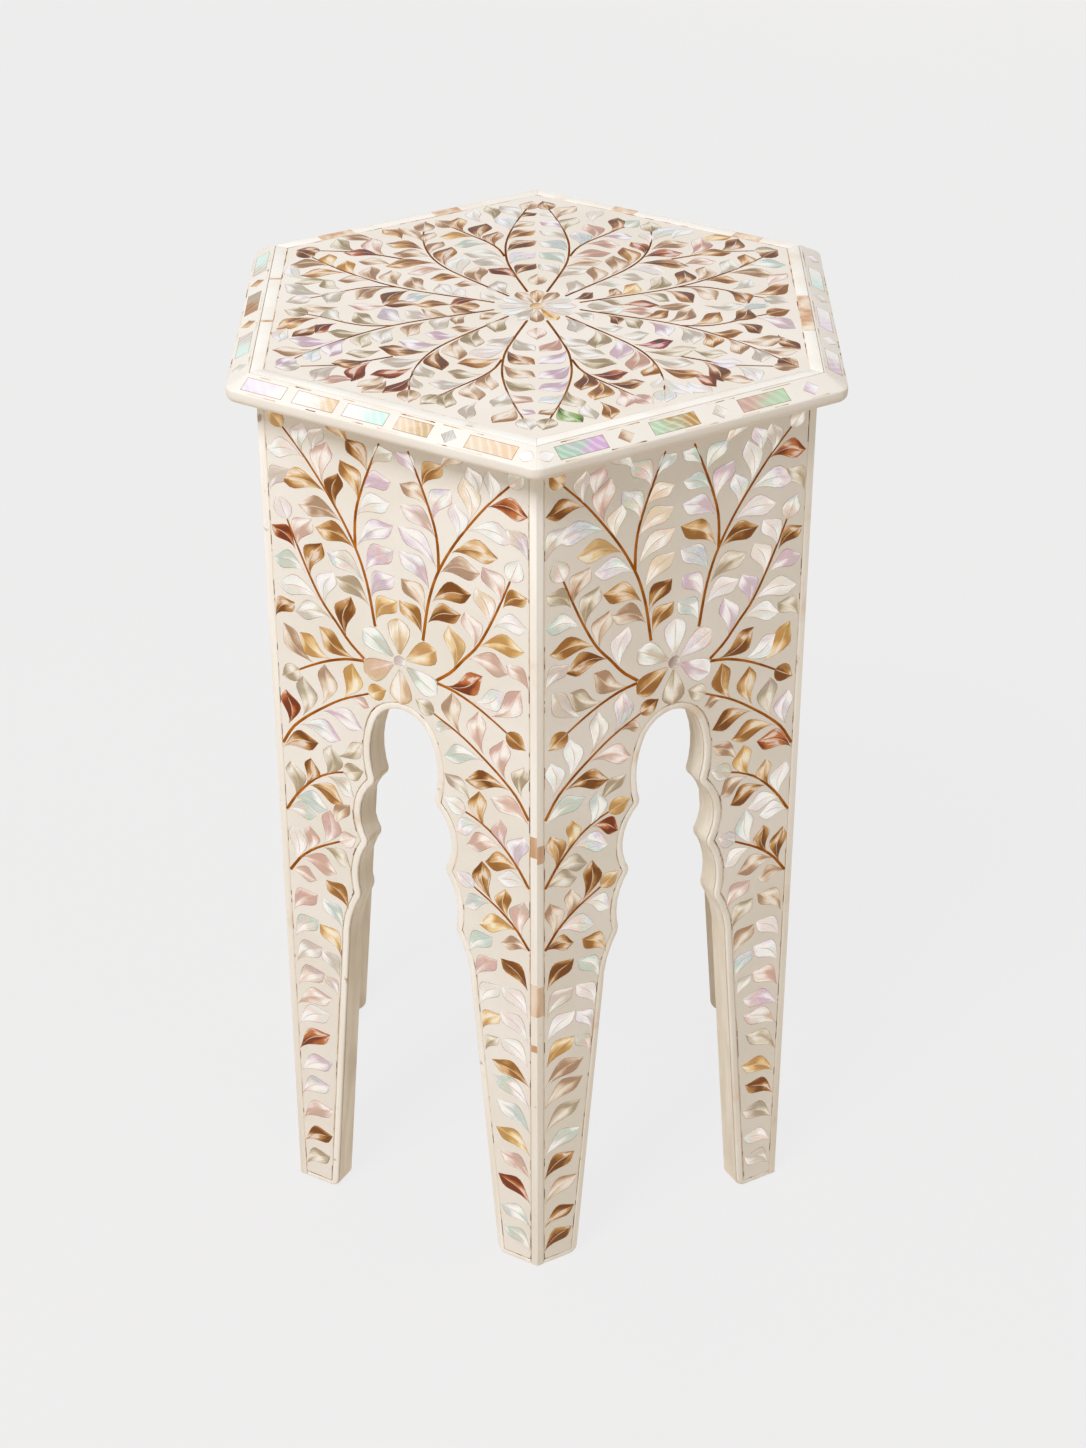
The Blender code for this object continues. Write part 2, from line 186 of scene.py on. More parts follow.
# Shells by letter: the tone of the body and of the sheen that plays over it, as screen values
SHELLS = {
    "b": ((132, 78, 24), (200, 150, 88)),
    "r": ((132, 58, 18), (202, 124, 68)),
    "c": ((168, 114, 52), (226, 186, 130)),
    "g": ((206, 156, 78), (244, 214, 156)),
    "q": ((214, 178, 130), (246, 226, 194)),
    "t": ((186, 150, 118), (236, 216, 194)),
    "o": ((182, 164, 134), (230, 219, 198)),
    "w": ((241, 234, 226), (255, 255, 255)),
    "s": ((208, 197, 180), (246, 242, 234)),
    "m": ((200, 214, 203), (251, 255, 250)),
    "M": ((186, 214, 178), (226, 240, 216)),
    "l": ((214, 187, 201), (251, 245, 250)),
    "p": ((212, 173, 156), (248, 229, 219)),
    "e": ((92, 122, 52), (170, 196, 128)),
    "k": ((122, 40, 52), (196, 104, 112)),
    "h": ((192, 186, 180), (214, 210, 204)),
    "H": ((170, 150, 144), (198, 182, 176)),
    "G": ((172, 206, 180), (200, 228, 204)),
    "V": ((214, 172, 214), (240, 206, 242)),
    "L": ((238, 224, 240), (252, 246, 252)),
    "O": ((238, 206, 166), (250, 226, 196)),
    "P": ((240, 216, 186), (252, 240, 222)),
    "T": ((210, 240, 231), (238, 252, 247)),
    "y": ((188, 138, 48), (226, 190, 110)),
    "W": ((250, 246, 242), (255, 255, 255)),
}
# Colours that play over pale shell, from one turn of its layers to the next
PLAY_OF_COLOUR = (
    (0.00, (252, 246, 242)),
    (0.18, (240, 190, 204)),
    (0.36, (247, 228, 192)),
    (0.54, (146, 218, 214)),
    (0.68, (248, 246, 244)),
    (0.84, (192, 172, 236)),
    (1.00, (252, 246, 242)),
)
SIDE_MIX = {"b": 14, "r": 4, "c": 14, "g": 8, "t": 14, "o": 9, "w": 14, "s": 7, "m": 5, "l": 5, "p": 8}
TOP_MIX = {"b": 15, "r": 4, "c": 14, "g": 3, "t": 20, "o": 14, "w": 8, "s": 15, "m": 4, "l": 2, "p": 5}

# A stem grows along its route. Each row of leaves stands on one side of it, each leaf given as its foot and
# its tip. All in millimetres, for the half to the right of a side's middle. The other half mirrors it.
Stem = namedtuple("Stem", "route bud rows")
Row = namedtuple("Row", "side leaves")

SIDE_STEMS = (
    Stem(((15.5, 423), (19, 445), (23, 460), (27.5, 471), (35, 485), (45, 500), (58, 517), (71, 531)), 13, (
        Row(RIGHT, (
            (19, 435, 40, 446), (22, 449, 45.5, 460.5), (27.5, 468.5, 51, 475), (35, 482.6, 62.5, 486.5),
            (45.2, 498.5, 74, 499.5), (58, 515.7, 82, 515.5),
        )),
        Row(LEFT, ((14.8, 427, 1, 443), (17.2, 441, 3, 457.5), (20.4, 456, 2.5, 474), (25, 471, 2, 489))),
        Row(LEFT, ((38, 491.5, 36, 511.5), (46, 503.6, 43, 528.5), (51.5, 520, 46, 536), (58.5, 518, 58, 536))),
    )),
    Stem(((26.6, 469), (26.4, 483), (24.6, 495), (20.4, 508), (15, 522), (9, 536)), 0, (
        Row(LEFT, ((25, 489, 3, 502), (20.6, 506, 3, 515), (14, 522, 1.6, 533))),
        Row(RIGHT, ((24, 499, 34.5, 519), (17.4, 517, 30, 533))),
    )),
    Stem(((23.5, 400), (33, 408), (41, 418), (50, 429), (58, 444), (65, 460), (71, 475)), 15.5, (
        Row(RIGHT, (
            (43.6, 419.5, 68.5, 418), (51.4, 429.5, 78.5, 433), (60.5, 444, 81.8, 450), (66.4, 457.5, 82, 468.5),
        )),
        Row(LEFT, ((35, 411.5, 31.2, 436), (48, 428, 42, 449), (57.2, 444, 49.6, 465.5), (65, 459.5, 55, 478.5))),
    )),
    Stem(((24, 398.5), (35, 396.5), (48, 391.5), (60, 385), (68, 380)), 14.5, (
        Row(LEFT, ((30, 398.6, 52, 411.8), (46, 393.5, 66.5, 404), (58.5, 387.5, 77, 408))),
    )),
    Stem(((82, 327), (75, 339), (67, 347.5), (57, 356), (40, 368.5), (21.5, 378)), 13.5, (
        Row(RIGHT, (
            (77.5, 341, 78.6, 363.5), (67.2, 349.5, 65.8, 375), (53.4, 361.4, 50, 387), (38.6, 370, 32.8, 394.5),
        )),
        Row(LEFT, ((82, 324, 58, 334.5), (69.3, 343, 41.6, 342), (53, 357, 27.2, 352.2), (33, 371, 21.5, 369))),
    )),
    Stem(((82, 281), (76, 291), (70, 299), (60, 309.5), (49, 316.5), (41, 319.5)), 15, (
        Row(RIGHT, ((75.5, 293, 78, 315), (67.6, 303, 64, 321.5), (53.6, 313, 49.4, 335.4))),
        Row(LEFT, ((82, 280.5, 62, 282), (76, 290.8, 54.4, 289.4), (65, 303, 42.2, 297.6), (52.2, 313, 33.4, 304.6))),
    )),
    Stem(((82, 238), (73, 250.5), (61.4, 260.6), (45.7, 270)), 14, (
        Row(RIGHT, ((77.6, 246, 79.2, 271), (68.5, 256, 65.8, 274.4), (57.6, 264.5, 52, 289.6))),
        Row(LEFT, ((82, 237.5, 63.6, 236.6), (74.4, 248.8, 49.6, 245.6), (57, 262, 37.8, 253.6))),
    )),
    Stem((), 0, (
        Row(LEFT, (
            (80.8, 209, 63.5, 225.5), (80.8, 189.5, 63.5, 206), (80.8, 171, 63, 187.5), (81, 153, 62, 168.5),
            (82.2, 138, 57, 150.6), (82.2, 122.5, 58, 138), (82.2, 103.5, 59.3, 121), (82.2, 86, 58.4, 99.4),
            (82.2, 68, 61.4, 81.4), (82.2, 48.5, 60.4, 62.6), (82.2, 30, 60.8, 41.4), (82.2, 11, 64.4, 23.6),
        )),
        Row(RIGHT, (
            (41.6, 223, 57, 238), (46, 206.5, 60, 224), (48.8, 187, 61.5, 205), (50.4, 170, 61.5, 185.5),
            (52.2, 155, 61, 167.5),
        )),
        Row(LEFT, ((82.2, 411, 67.8, 423), (81.5, 490, 69, 506))),
    )),
)
ROSETTE_HEIGHT = 405
LEGS_DROP = 30
FAN_DROP = 60
LEFT_LEG_HEADING, RIGHT_LEG_HEADING = math.radians(40), math.radians(140)
SIDE_HUB_RADIUS = 4.0
SIDE_PETAL_START, SIDE_PETAL_LENGTH = 5.0, 22.5
SIDE_PETALS = (90, 30, -30, -90, -150, 150)

# How far the bands of a rosette's hub, of its first petal, and from one petal to the next are turned
HUB_TURN, PETAL_TURN, PETAL_TURN_STEP = 0.25, 0.15, 0.37
HUB_CORNERS = 24

# One quarter of the top. The other three quarters mirror it.
TOP_STEMS = (
    Stem(((5.5, 20), (12, 42), (17, 62), (18.6, 80), (18, 97), (14, 120), (7, 145)), 14.5, (
        Row(LEFT, (
            (11.8, 44, 1, 61), (16, 60, 1, 77), (17.8, 79, 1, 94.5), (17.3, 97.5, 1, 110.5), (14.8, 114.5, 1, 125.5),
            (10.4, 132, 1, 139),
        )),
        Row(RIGHT, (
            (12.5, 40, 28.4, 53), (16.6, 56, 36.6, 65), (19.6, 69.5, 42, 77), (16.5, 111, 24, 133),
            (11.8, 130, 23.4, 150),
        )),
    )),
    Stem(((19, 72), (23, 84), (30, 94.5), (40, 105), (51, 117)), 15, (
        Row(RIGHT, ((28.6, 90.5, 48, 88), (38, 101.5, 57, 101))),
        Row(LEFT, ((24.5, 88, 23, 110), (33, 99, 30, 122), (43, 110, 47, 131.5))),
    )),
    Stem(((16, 14), (30, 29), (40, 39.5), (52, 53.5), (60, 67), (65, 82), (67.5, 98), (67.5, 110)), 16, (
        Row(LEFT, (
            (15.6, 17, 22.4, 36), (31.5, 32.5, 32.6, 56), (42.5, 44.5, 43, 71.5), (53, 58, 50, 85.5),
            (62.5, 76, 56, 94), (66, 92, 61.5, 108.5),
        )),
        Row(RIGHT, (
            (33, 29, 47, 30), (43, 40, 61, 38), (53, 52, 74.4, 47), (58.8, 61.5, 86.5, 56), (62, 70.5, 84, 76),
            (66.8, 82, 89, 91.5), (67.3, 94, 83.5, 116), (80, 98.5, 92.5, 113),
        )),
    )),
    Stem(((78, 68), (90, 73), (103, 78.5), (127, 80.5)), 14, (
        Row(RIGHT, ((85, 59.5, 103, 64), (91, 72, 112.5, 77))),
        Row(LEFT, ((89, 74, 98, 100), (106, 80, 119, 98))),
    )),
    Stem(((24, 5), (40, 11), (57, 17), (72, 23), (87, 31), (100, 40.5), (112, 50.5), (122, 60.5), (131, 70.5)), 14.5, (
        Row(LEFT, (
            (20, 9.5, 31.5, 18.5), (39, 12.5, 44.5, 25), (45.5, 15, 56, 31.5), (62, 22, 71.5, 41), (78.5, 29, 84.5, 51),
            (91, 36, 96, 56), (104, 45, 112, 67), (117, 56.5, 121.5, 75.5),
        )),
        Row(RIGHT, (
            (34, 8, 48.5, 2), (58, 16, 74, 7), (72, 22, 87, 4), (95, 36, 114.5, 35.5), (110, 47, 135.5, 44.5),
            (121, 58, 143, 59),
        )),
    )),
    Stem(((80, 27), (95, 27), (108, 22), (116, 17), (128, 11.5)), 15, (
        Row(RIGHT, ((86, 26, 101, 9), (107, 21.5, 118, 4))),
        Row(LEFT, ((111, 24, 122, 37.5), (121.5, 16.5, 143, 31))),
    )),
)
TOP_HUB_RADIUS = 4.4
TOP_PETAL_START, TOP_PETAL_LENGTH, TOP_PETAL_GIRTH = 5.0, 17.5, 0.72
TOP_PETAL_SHELLS = "ctwwwgtswwwt"
# Leaves on the top's axes, as direction, where the foot is, and shell
AXIS_LEAVES = ((90, 30, "t"), (-90, 30, "p"), (0, 28, "s"), (180, 32, "c"))
AXIS_LEAF_LENGTH, AXIS_LEAF_GIRTH = 16, 0.85

# Shells of the leaves that the front shows, as one group for each row above and a last group for the buds
ROW_SHELLS = {
    ("front_left", 1, 1):
        "bbtcwr ctll wPss ptl lc pgwc gpPp rwp oppt pbms lpc wcpw pcb tgm bwwwcmmgprmm mpwgo ps swcoww",
    ("front_left", -1, 1):
        "omctcw glll bpss wls cb swmr bwbp cgt rotg bllp obo mmcs wpp ppo pmsppwrllpbo cmgss bs gwogop",
    ("front_right", 1, 1):
        "wobwwr mlmc wwws lmm lm wwlb llww bwg locc rcbt wcg wwbt bbm ttw twwplpogbows potms oo ssboss",
    ("front_right", -1, 1):
        "tcwgmb cbPP Ppps PPm ss bcmo wtot tos wwss mbpt cgm oowr ttb bww bswgttombtbb cmwls ss cscbgg",
    ("top", 1, -1):
        "plllwt ssooe rb bcp solpcw sskoscww ol bw sbolscts sctctt cb bl opwtbc",
    ("top", -1, -1):
        "sbtopl swcst os tto ootbss tllbsrrt ob rs ttstsolm bslolt os rc sotslo",
    ("top", 1, 1):
        "smmslw stpot pl mpb sttcrw sswbrtww pc pb bbgobtsc oobctm tb sc bmoobs",
}
PETAL_SHELLS = {"front_left": "qgmqqm", "front_right": "wwlocs"}
HUB_SHELLS = {"front_left": "h", "front_right": "H"}
FILL_MIX = {"c": 10, "t": 14, "o": 10, "w": 22, "s": 14, "m": 8, "l": 8, "p": 10, "P": 10}

# Inlay along the rim from left to right, as (middle, length), and its shells: two for a rectangle, one for a diamond
RIM_PLACES = {
    "front_left": ((-74.5, 26), (-42, 26), (-10.5, 26), (19, 21), (40.5, 9.5), (66, 29)),
    "front_right": ((-66, 29), (-39.5, 10), (-10, 28), (18, 10), (45.5, 30), (75.5, 10)),
    "others": ((-68, 28), (-40, 10), (-11, 28), (18, 10), (46, 28), (76, 10)),
}
RIM_SHELLS = {
    "front_left": "LW WO WT Pq h PO",
    "front_right": "GV t My s pM l",
    "left": "Ts c oc c sT s",
    "right": "lW w LW s TW l",
}
RIM_INLAY_WIDTH = 8.8
RIM_INLAY_DROP = 0.5
LONGEST_DIAMOND = 20
DIAMOND_GIRTH = 0.95

# A bud at the rim's front corner, as where its foot is and which way it points
RIM_CORNER_PETALS = {"front_left": (91, math.pi), "front_right": (-91, 0.0)}
RIM_CORNER_PETAL_LENGTH = 9
RIM_CORNER_PETAL_TURN = 0.2

# Brown joint lines along the rim, broken into dashes. Their heights are shares of the slope's width.
DASH_HEIGHTS = (-0.445, 0.375)
DASH_STARTS = (-86, -74)
DASH_LAST_START = 76
DASH_END = 84
DASH_LENGTHS = (5, 28)
DASH_WIDTHS = (0.35, 0.75)
DASH_GAPS = (5, 24)

# Stretches cut from darker bone, in millimetres along the strip
DARK_BONE = {
    "right_upright_strip_front_left": ((166, 171), (192, 215), (303, 317)),
    "left_upright_strip_front_right": ((192, 213), (299, 311)),
    "top_stringing_right": ((-35, 14),),
    "top_stringing_left": ((20, 23), (-39, -37)),
    "top_stringing_back_left": ((-32, -14), (40, 62)),
    "top_stringing_back_right": ((-66, -48), (18, 34)),
}


def deselect():
    bpy.ops.object.select_all(action="DESELECT")


@contextmanager
def editing(piece, whole=True):
    """Edit mode on one piece alone, with all of it selected or with what was selected before."""
    deselect()
    piece.select_set(True)
    bpy.context.view_layer.objects.active = piece
    bpy.ops.object.mode_set(mode="EDIT")
    if whole:
        bpy.ops.mesh.select_all(action="SELECT")
    yield
    bpy.ops.object.mode_set(mode="OBJECT")


def cut_across(piece, point, direction):
    """Cuts the faces of a piece along a plane, and leaves it whole."""
    with editing(piece):
        bpy.ops.mesh.bisect(plane_co=point, plane_no=direction)


def screen(tone):
    """A colour given as screen values, turned into the linear values that a shader takes."""
    shares = [value / 255 for value in tone]
    return tuple(x / 12.92 if x <= 0.04045 else ((x + 0.055) / 1.055) ** 2.4 for x in shares) + (1.0,)


class Nodes:
    """A node tree in the making. Colours are given as screen values."""

    def __init__(self, tree):
        self.tree = tree

    def put(self, socket, value):
        if isinstance(value, bpy.types.NodeSocket):
            self.tree.links.new(value, socket)
        else:
            socket.default_value = screen(value) if socket.type == "RGBA" else value

    def node(self, kind, inputs, output=0, **settings):
        made = self.tree.nodes.new(kind)
        for name, value in settings.items():
            setattr(made, name, value)
        for key, value in inputs.items():
            self.put(made.inputs[key], value)
        return made.outputs[output]

    def calc(self, operation, first, second=0.0):
        return self.node("ShaderNodeMath", {0: first, 1: second}, operation=operation)

    def plus(self, *values):
        return reduce(lambda first, second: self.calc("ADD", first, second), values)

    def times(self, first, second):
        return self.calc("MULTIPLY", first, second)

    def ease(self, value, low, high, start=0.0, end=1.0):
        """Goes smoothly from start to end as the value goes from low to high."""
        inputs = {"Value": value, 1: low, 2: high, 3: start, 4: end}
        return self.node("ShaderNodeMapRange", inputs, interpolation_type="SMOOTHSTEP")

    def mix(self, share, first, second, blend="MIX"):
        inputs = {0: share, 6: first, 7: second}
        return self.node("ShaderNodeMix", inputs, output=2, data_type="RGBA", blend_type=blend)

    def noise(self, scale, detail=3.0, stretch=(1.0, 1.0, 1.0), distortion=0.0):
        """Noise in object coordinates, stretched along the axes."""
        coordinates = self.node("ShaderNodeTexCoord", {}, output=3)
        place = self.node("ShaderNodeMapping", {"Vector": coordinates, "Scale": stretch})
        inputs = {"Vector": place, "Scale": scale, "Detail": detail, "Distortion": distortion}
        return self.node("ShaderNodeTexNoise", inputs)

    def ramp(self, place, stops):
        made = self.tree.nodes.new("ShaderNodeValToRGB")
        elements = made.color_ramp.elements
        for count, (position, tone) in enumerate(stops):
            stop = elements[count] if count < len(elements) else elements.new(position)
            stop.position, stop.color = position, screen(tone)
        self.put(made.inputs[0], place)
        return made.outputs[0]

    def rays(self):
        """Which light is only seen, by the camera or in gloss and glass, and which of it is seen in gloss."""
        kinds = self.tree.nodes.new("ShaderNodeLightPath").outputs
        seen = self.calc("MAXIMUM", kinds["Is Camera Ray"], kinds["Is Glossy Ray"])
        return self.calc("MAXIMUM", seen, kinds["Is Transmission Ray"]), kinds["Is Glossy Ray"]


class Finish(Nodes):
    """A material in the making: its nodes, and the Principled shader that they lead to."""

    SOCKETS = {
        "colour": "Base Color", "roughness": "Roughness", "metallic": "Metallic", "specular": "Specular IOR Level",
    }

    def __init__(self, name):
        self.material = bpy.data.materials.new(name)
        self.material.use_nodes = True
        super().__init__(self.material.node_tree)
        self.shader = self.tree.nodes["Principled BSDF"]

    def bump(self, height, strength, distance):
        normal = self.node("ShaderNodeBump", {"Height": height, "Strength": strength, "Distance": distance})
        self.put(self.shader.inputs["Normal"], normal)

    def set(self, **values):
        for name, value in values.items():
            self.put(self.shader.inputs[self.SOCKETS[name]], value)
        return self.material


def ivory_resin(name, body, shade, smoothest):
    """Polished cast resin: slow cloudy shifts of tone, and a faint hand-rubbed unevenness."""
    finish = Finish(name)
    cloud = finish.ease(finish.noise(14.0, 4.0), 0.35, 0.65)
    fleck = finish.ease(finish.noise(420.0, 2.0), 0.66, 0.80, 0.0, 0.22)
    colour = finish.mix(fleck, finish.mix(cloud, body, shade), (206, 186, 158))
    finish.bump(finish.noise(60.0, 3.0), 0.05, 0.0006)
    roughness = finish.ease(finish.noise(35.0, 3.0), 0.3, 0.7, smoothest, smoothest + 0.12)
    return finish.set(colour=colour, roughness=roughness)


def grained(name, grain, spread, tones, roughness, marks=(), bump=None, **values):
    """A finish that turns from one tone to another along its grain, with marks over it.

    The grain is what a noise takes. A mark is a noise, where it sets in and is full, its share and its tone.
    A bump is its strength and distance, and its own noise where it doesn't follow the grain.
    """
    finish = Finish(name)
    turn = finish.ease(finish.noise(*grain), *spread)
    colour = finish.mix(turn, *tones)
    for mark, low, high, share, tone in marks:
        colour = finish.mix(finish.ease(finish.noise(*mark), low, high, 0.0, share), colour, tone)
    if bump:
        strength, distance, *own = bump
        finish.bump(finish.noise(*own) if own else turn, strength, distance)
    return finish.set(colour=colour, roughness=finish.ease(turn, 0.0, 1.0, *roughness), **values)


def bone(name, pale, streaked, stretch):
    """Bone strip: fine streaks along its length, and brown stains and ticks where it was pieced."""
    stains = ((26.0, 5.0), 0.60, 0.74, 0.5, (220, 184, 142))
    ticks = ((75.0, 4.0), 0.67, 0.74, 0.65, (150, 98, 58))
    return grained(
        name, (150.0, 4.0, stretch), (0.3, 0.7), (pale, streaked), (0.24, 0.36), (stains, ticks), (0.08, 0.0003),
    )


def glue_line():
    """The hairline round a field: pale in places, brown in others, with dark dashes."""
    tones = (232, 217, 196), (196, 160, 120)
    dashes = ((120.0, 2.0), 0.57, 0.63, 1.0, (122, 74, 36))
    return grained("glue_line", (60.0, 2.0), (0.46, 0.60), tones, (0.4, 0.6), (dashes,), specular=0.2)


def stem_brown(name, dark, light):
    bump = (0.1, 0.0002, 700.0, 2.0)
    return grained(name, (90.0, 3.0), (0.35, 0.65), (dark, light), (0.45, 0.60), bump=bump, specular=0.0)


def pearl(name, is_leaf, play_shares):
    """Mother-of-pearl: each plate's own two tones turn over in silky bands, and colours play over pale plates.

    A leaf also has a painted glint of white highlight, a rib and a browner foot. The rim's plates have slanting streaks
    and brown ends.
    """
    finish = Finish(name)
    plus, times, ease, mix, calc = finish.plus, finish.times, finish.ease, finish.mix, finish.calc
    own_map = finish.node("ShaderNodeUVMap", {}, uv_map=PLATE_MAP)
    along, across = (finish.node("ShaderNodeSeparateXYZ", {0: own_map}, output=axis) for axis in (0, 1))
    body, sheen = (finish.node("ShaderNodeAttribute", {}, attribute_name=tone) for tone in SHELL_TONES)
    turn = finish.node("ShaderNodeAttribute", {}, output=2, attribute_name=SHELL_TURN)
    off_middle = calc("ABSOLUTE", plus(across, -0.5))
    paleness = ease(finish.node("ShaderNodeRGBToBW", {0: body}), 0.25, 0.65)

    drift = finish.noise(70.0, 1.5)
    fibre_place = finish.node("ShaderNodeMapping", {"Vector": own_map, "Scale": (2.2, 9.0, 1.0)})
    fibre_place = finish.node("ShaderNodeVectorMath", {0: fibre_place, 1: turn}, operation="ADD")
    fibre = finish.node("ShaderNodeTexNoise", {"Vector": fibre_place, "Scale": 1.0, "Detail": 2.0, "Distortion": 0.6})
    fibre = ease(fibre, 0.3, 0.7, -0.28, 0.28)
    if is_leaf:
        half = ease(across, 0.47, 0.53, 0.0, 0.20)
        run = plus(times(along, 0.80), times(off_middle, 0.50), half, plus(turn, drift))
        band = calc("SINE", times(run, 2 * math.pi))
    else:
        run = plus(along, times(plus(drift, -0.5), 0.9))
        band = plus(times(run, 2.6), -1.3)
    silk = plus(band, fibre)
    colour = mix(ease(silk, -0.8, 0.8), body, sheen)

    deep = times(ease(band, -1.0, -0.3, 1.0, 0.0), ease(paleness, 0.0, 1.0, 0.16, 0.0))
    colour = mix(deep, colour, (104, 66, 34), "MULTIPLY")
    hue_run = plus(run, times(turn, -3.0), fibre)
    play = finish.ramp(calc("FRACT", times(hue_run, 0.83)), PLAY_OF_COLOUR)
    lively = ease(calc("FRACT", times(turn, 7.3)), 0.55, 1.0, *play_shares)
    colour = mix(times(paleness, lively), colour, play)
    if is_leaf:
        # Painted highlight: white mixed in where the silky band peaks, strongest on pale shell
        painted_glint = times(ease(silk, 0.60, 1.05, 0.0, 0.95), ease(paleness, 0.0, 1.0, 0.6, 1.0))
        colour = mix(painted_glint, colour, (255, 253, 250))
        rib = times(ease(off_middle, 0.012, 0.034, 0.65, 0.0), ease(along, 0.70, 0.95, 1.0, 0.0))
        colour = mix(rib, colour, mix(paleness, (250, 232, 206), (206, 170, 136)))
        colour = mix(ease(along, 0.04, 0.28, 0.25, 0.0), colour, (176, 130, 84))
    else:
        slant = plus(times(along, 5.0), times(across, 1.2), turn, times(drift, 1.2))
        streak = ease(calc("SINE", times(slant, 2 * math.pi)), -0.2, 1.0, 0.0, 0.38)
        colour = mix(times(streak, paleness), colour, (252, 246, 236))
        ends = ease(calc("ABSOLUTE", plus(along, -0.5)), 0.480, 0.495, 0.0, 0.8)
        colour = mix(ends, colour, (164, 116, 74))
    outline = ease(off_middle, 0.445, 0.49, 0.0, 0.60 if is_leaf else 0.8)
    colour = mix(outline, colour, (156, 108, 66))
    finish.bump(finish.noise(1100.0, 2.0, (1.0, 1.0, 0.4), 1.5), 0.04, 0.0002)
    lustre = ease(paleness, 0.0, 1.0, 0.5, 0.75) if is_leaf else 0.3
    return finish.set(colour=colour, roughness=ease(drift, 0.3, 0.7, 0.20, 0.34), specular=0.35, metallic=lustre)


def lacquered_core():
    """Cream lacquer brushed on the sawn wood: faint upright brush lines, worn a little brown."""
    brush = (240.0, 3.0, (1.0, 1.0, 0.08))
    tones = (244, 236, 222), (236, 225, 207)
    wear = ((18.0, 5.0), 0.56, 0.74, 0.25, (198, 172, 138))
    return grained("lacquered_core", brush, (0.3, 0.7), tones, (0.36, 0.48), (wear,), (0.12, 0.0003))


def bare_wood():
    """Sawn softwood with its grain running upright."""
    grain = (90.0, 6.0, (1.0, 1.0, 0.12), 1.2)
    tones = (196, 160, 112), (160, 120, 76)
    return grained("bare_wood", grain, (0.35, 0.65), tones, (0.6, 0.75), bump=(0.3, 0.0005))


def screw_steel():
    finish = Finish("screw_steel")
    scratch = finish.noise(800.0, 2.0, (1.0, 1.0, 0.1))
    colour = finish.mix(scratch, (176, 176, 178), (206, 206, 206))
    return finish.set(colour=colour, roughness=finish.ease(scratch, 0.3, 0.7, 0.25, 0.42), metallic=1.0)


def make_finishes():
    return {
        "resin": ivory_resin("ivory_resin", (240, 234, 226), (234, 227, 216), 0.28),
        # The top's resin is the sides' resin a little darker: painted shade, against the stronger light that falls on
        # the top
        "shaded_top_resin": ivory_resin("shaded_top_ivory_resin", (237, 228, 217), (231, 221, 207), 0.32),
        "rim": ivory_resin("rim_resin", (237, 230, 221), (232, 223, 211), 0.38),
        "upright_bone": bone("upright_bone", (247, 242, 234), (239, 231, 219), (1.0, 1.0, 0.06)),
        "flat_bone": bone("flat_bone", (247, 242, 234), (239, 231, 219), (0.25, 0.25, 1.0)),
        "dark_bone": bone("dark_bone", (242, 226, 204), (200, 150, 106), (0.8, 0.8, 0.1)),
        "glue": glue_line(),
        "stem": stem_brown("stem_brown", (144, 78, 14), (182, 110, 34)),
        "top_stem": stem_brown("top_stem_brown", (112, 58, 16), (146, 88, 36)),
        "leaf": pearl("pearl_leaf", True, (0.20, 0.58)),
        "plate": pearl("pearl_plate", False, (0.06, 0.12)),
        "core": lacquered_core(),
        "wood": bare_wood(),
        "steel": screw_steel(),
    }


def thin_plate(name, rows):
    """A thin closed plate: a grid moved to rows of (lower edge, middle, upper edge), then pushed down."""
    deselect()
    bpy.ops.mesh.primitive_grid_add(x_subdivisions=len(rows) - 1, y_subdivisions=2, size=1.0)
    piece = bpy.context.active_object
    piece.name = name
    for vertex in piece.data.vertices:
        along = round((vertex.co.x + 0.5) * (len(rows) - 1))
        across = round((vertex.co.y + 0.5) * 2)
        vertex.co = rows[along][across]
    with editing(piece):
        bpy.ops.mesh.remove_doubles(threshold=MERGE)
        bpy.ops.mesh.extrude_region_move(TRANSFORM_OT_translate={"value": (0, 0, -SHELL_DEPTH)})
        bpy.ops.mesh.select_all(action="SELECT")
        bpy.ops.mesh.normals_make_consistent(inside=False)
    return piece


def add_shell_values(mesh):
    """Room for what each plate has of its own: two tones, and how far its bands are turned."""
    for tone in SHELL_TONES:
        mesh.attributes.new(tone, "FLOAT_COLOR", "POINT")
    mesh.attributes.new(SHELL_TURN, "FLOAT", "POINT")


def master_plate(name, outline, length, hand, crown):
    """The one plate of its kind that the others are copied from, lying along +X at its real size."""
    widest = max(upper - lower for along, upper, lower in outline)
    rows = []
    for along, upper, lower in outline:
        low, high = sorted((hand * upper, hand * lower))
        middle = SHELL_PROUD + crown * (upper - lower) / widest
        rows.append((
            (along * length, low * length, SHELL_PROUD),
            (along * length, (low + high) / 2 * length, middle),
            (along * length, high * length, SHELL_PROUD),
        ))
    plate = thin_plate(name, rows)
    add_shell_values(plate.data)
    return plate


def paint_plate(mesh, shells, turn, depth=1.0):
    """Gives one plate its own two tones: one shell's body and sheen, or the bodies of two shells; a depth above one
    deepens them as painted shade.
    """
    tones = SHELLS[shells] if len(shells) == 1 else [SHELLS[shell][0] for shell in shells]
    for name, tone in zip(SHELL_TONES, tones):
        values = np.tile(np.power(screen(tone), depth), len(mesh.vertices)).astype(np.float32)
        mesh.attributes[name].data.foreach_set("color", values)
    mesh.attributes[SHELL_TURN].data.foreach_set("value", [turn] * len(mesh.vertices))


def plate_matrix(leaf, face):
    """Where a plate goes on a face whose own axes are across, up and out."""
    scale = leaf.length * MM / MASTERS[leaf.kind].length
    place = Matrix.Translation((leaf.base[0] * MM, leaf.base[1] * MM, 0.0))
    turn = Matrix.Rotation(leaf.angle, 4, "Z")
    return face @ place @ turn @ Matrix.Diagonal((scale, scale * leaf.girth, 1.0, 1.0))


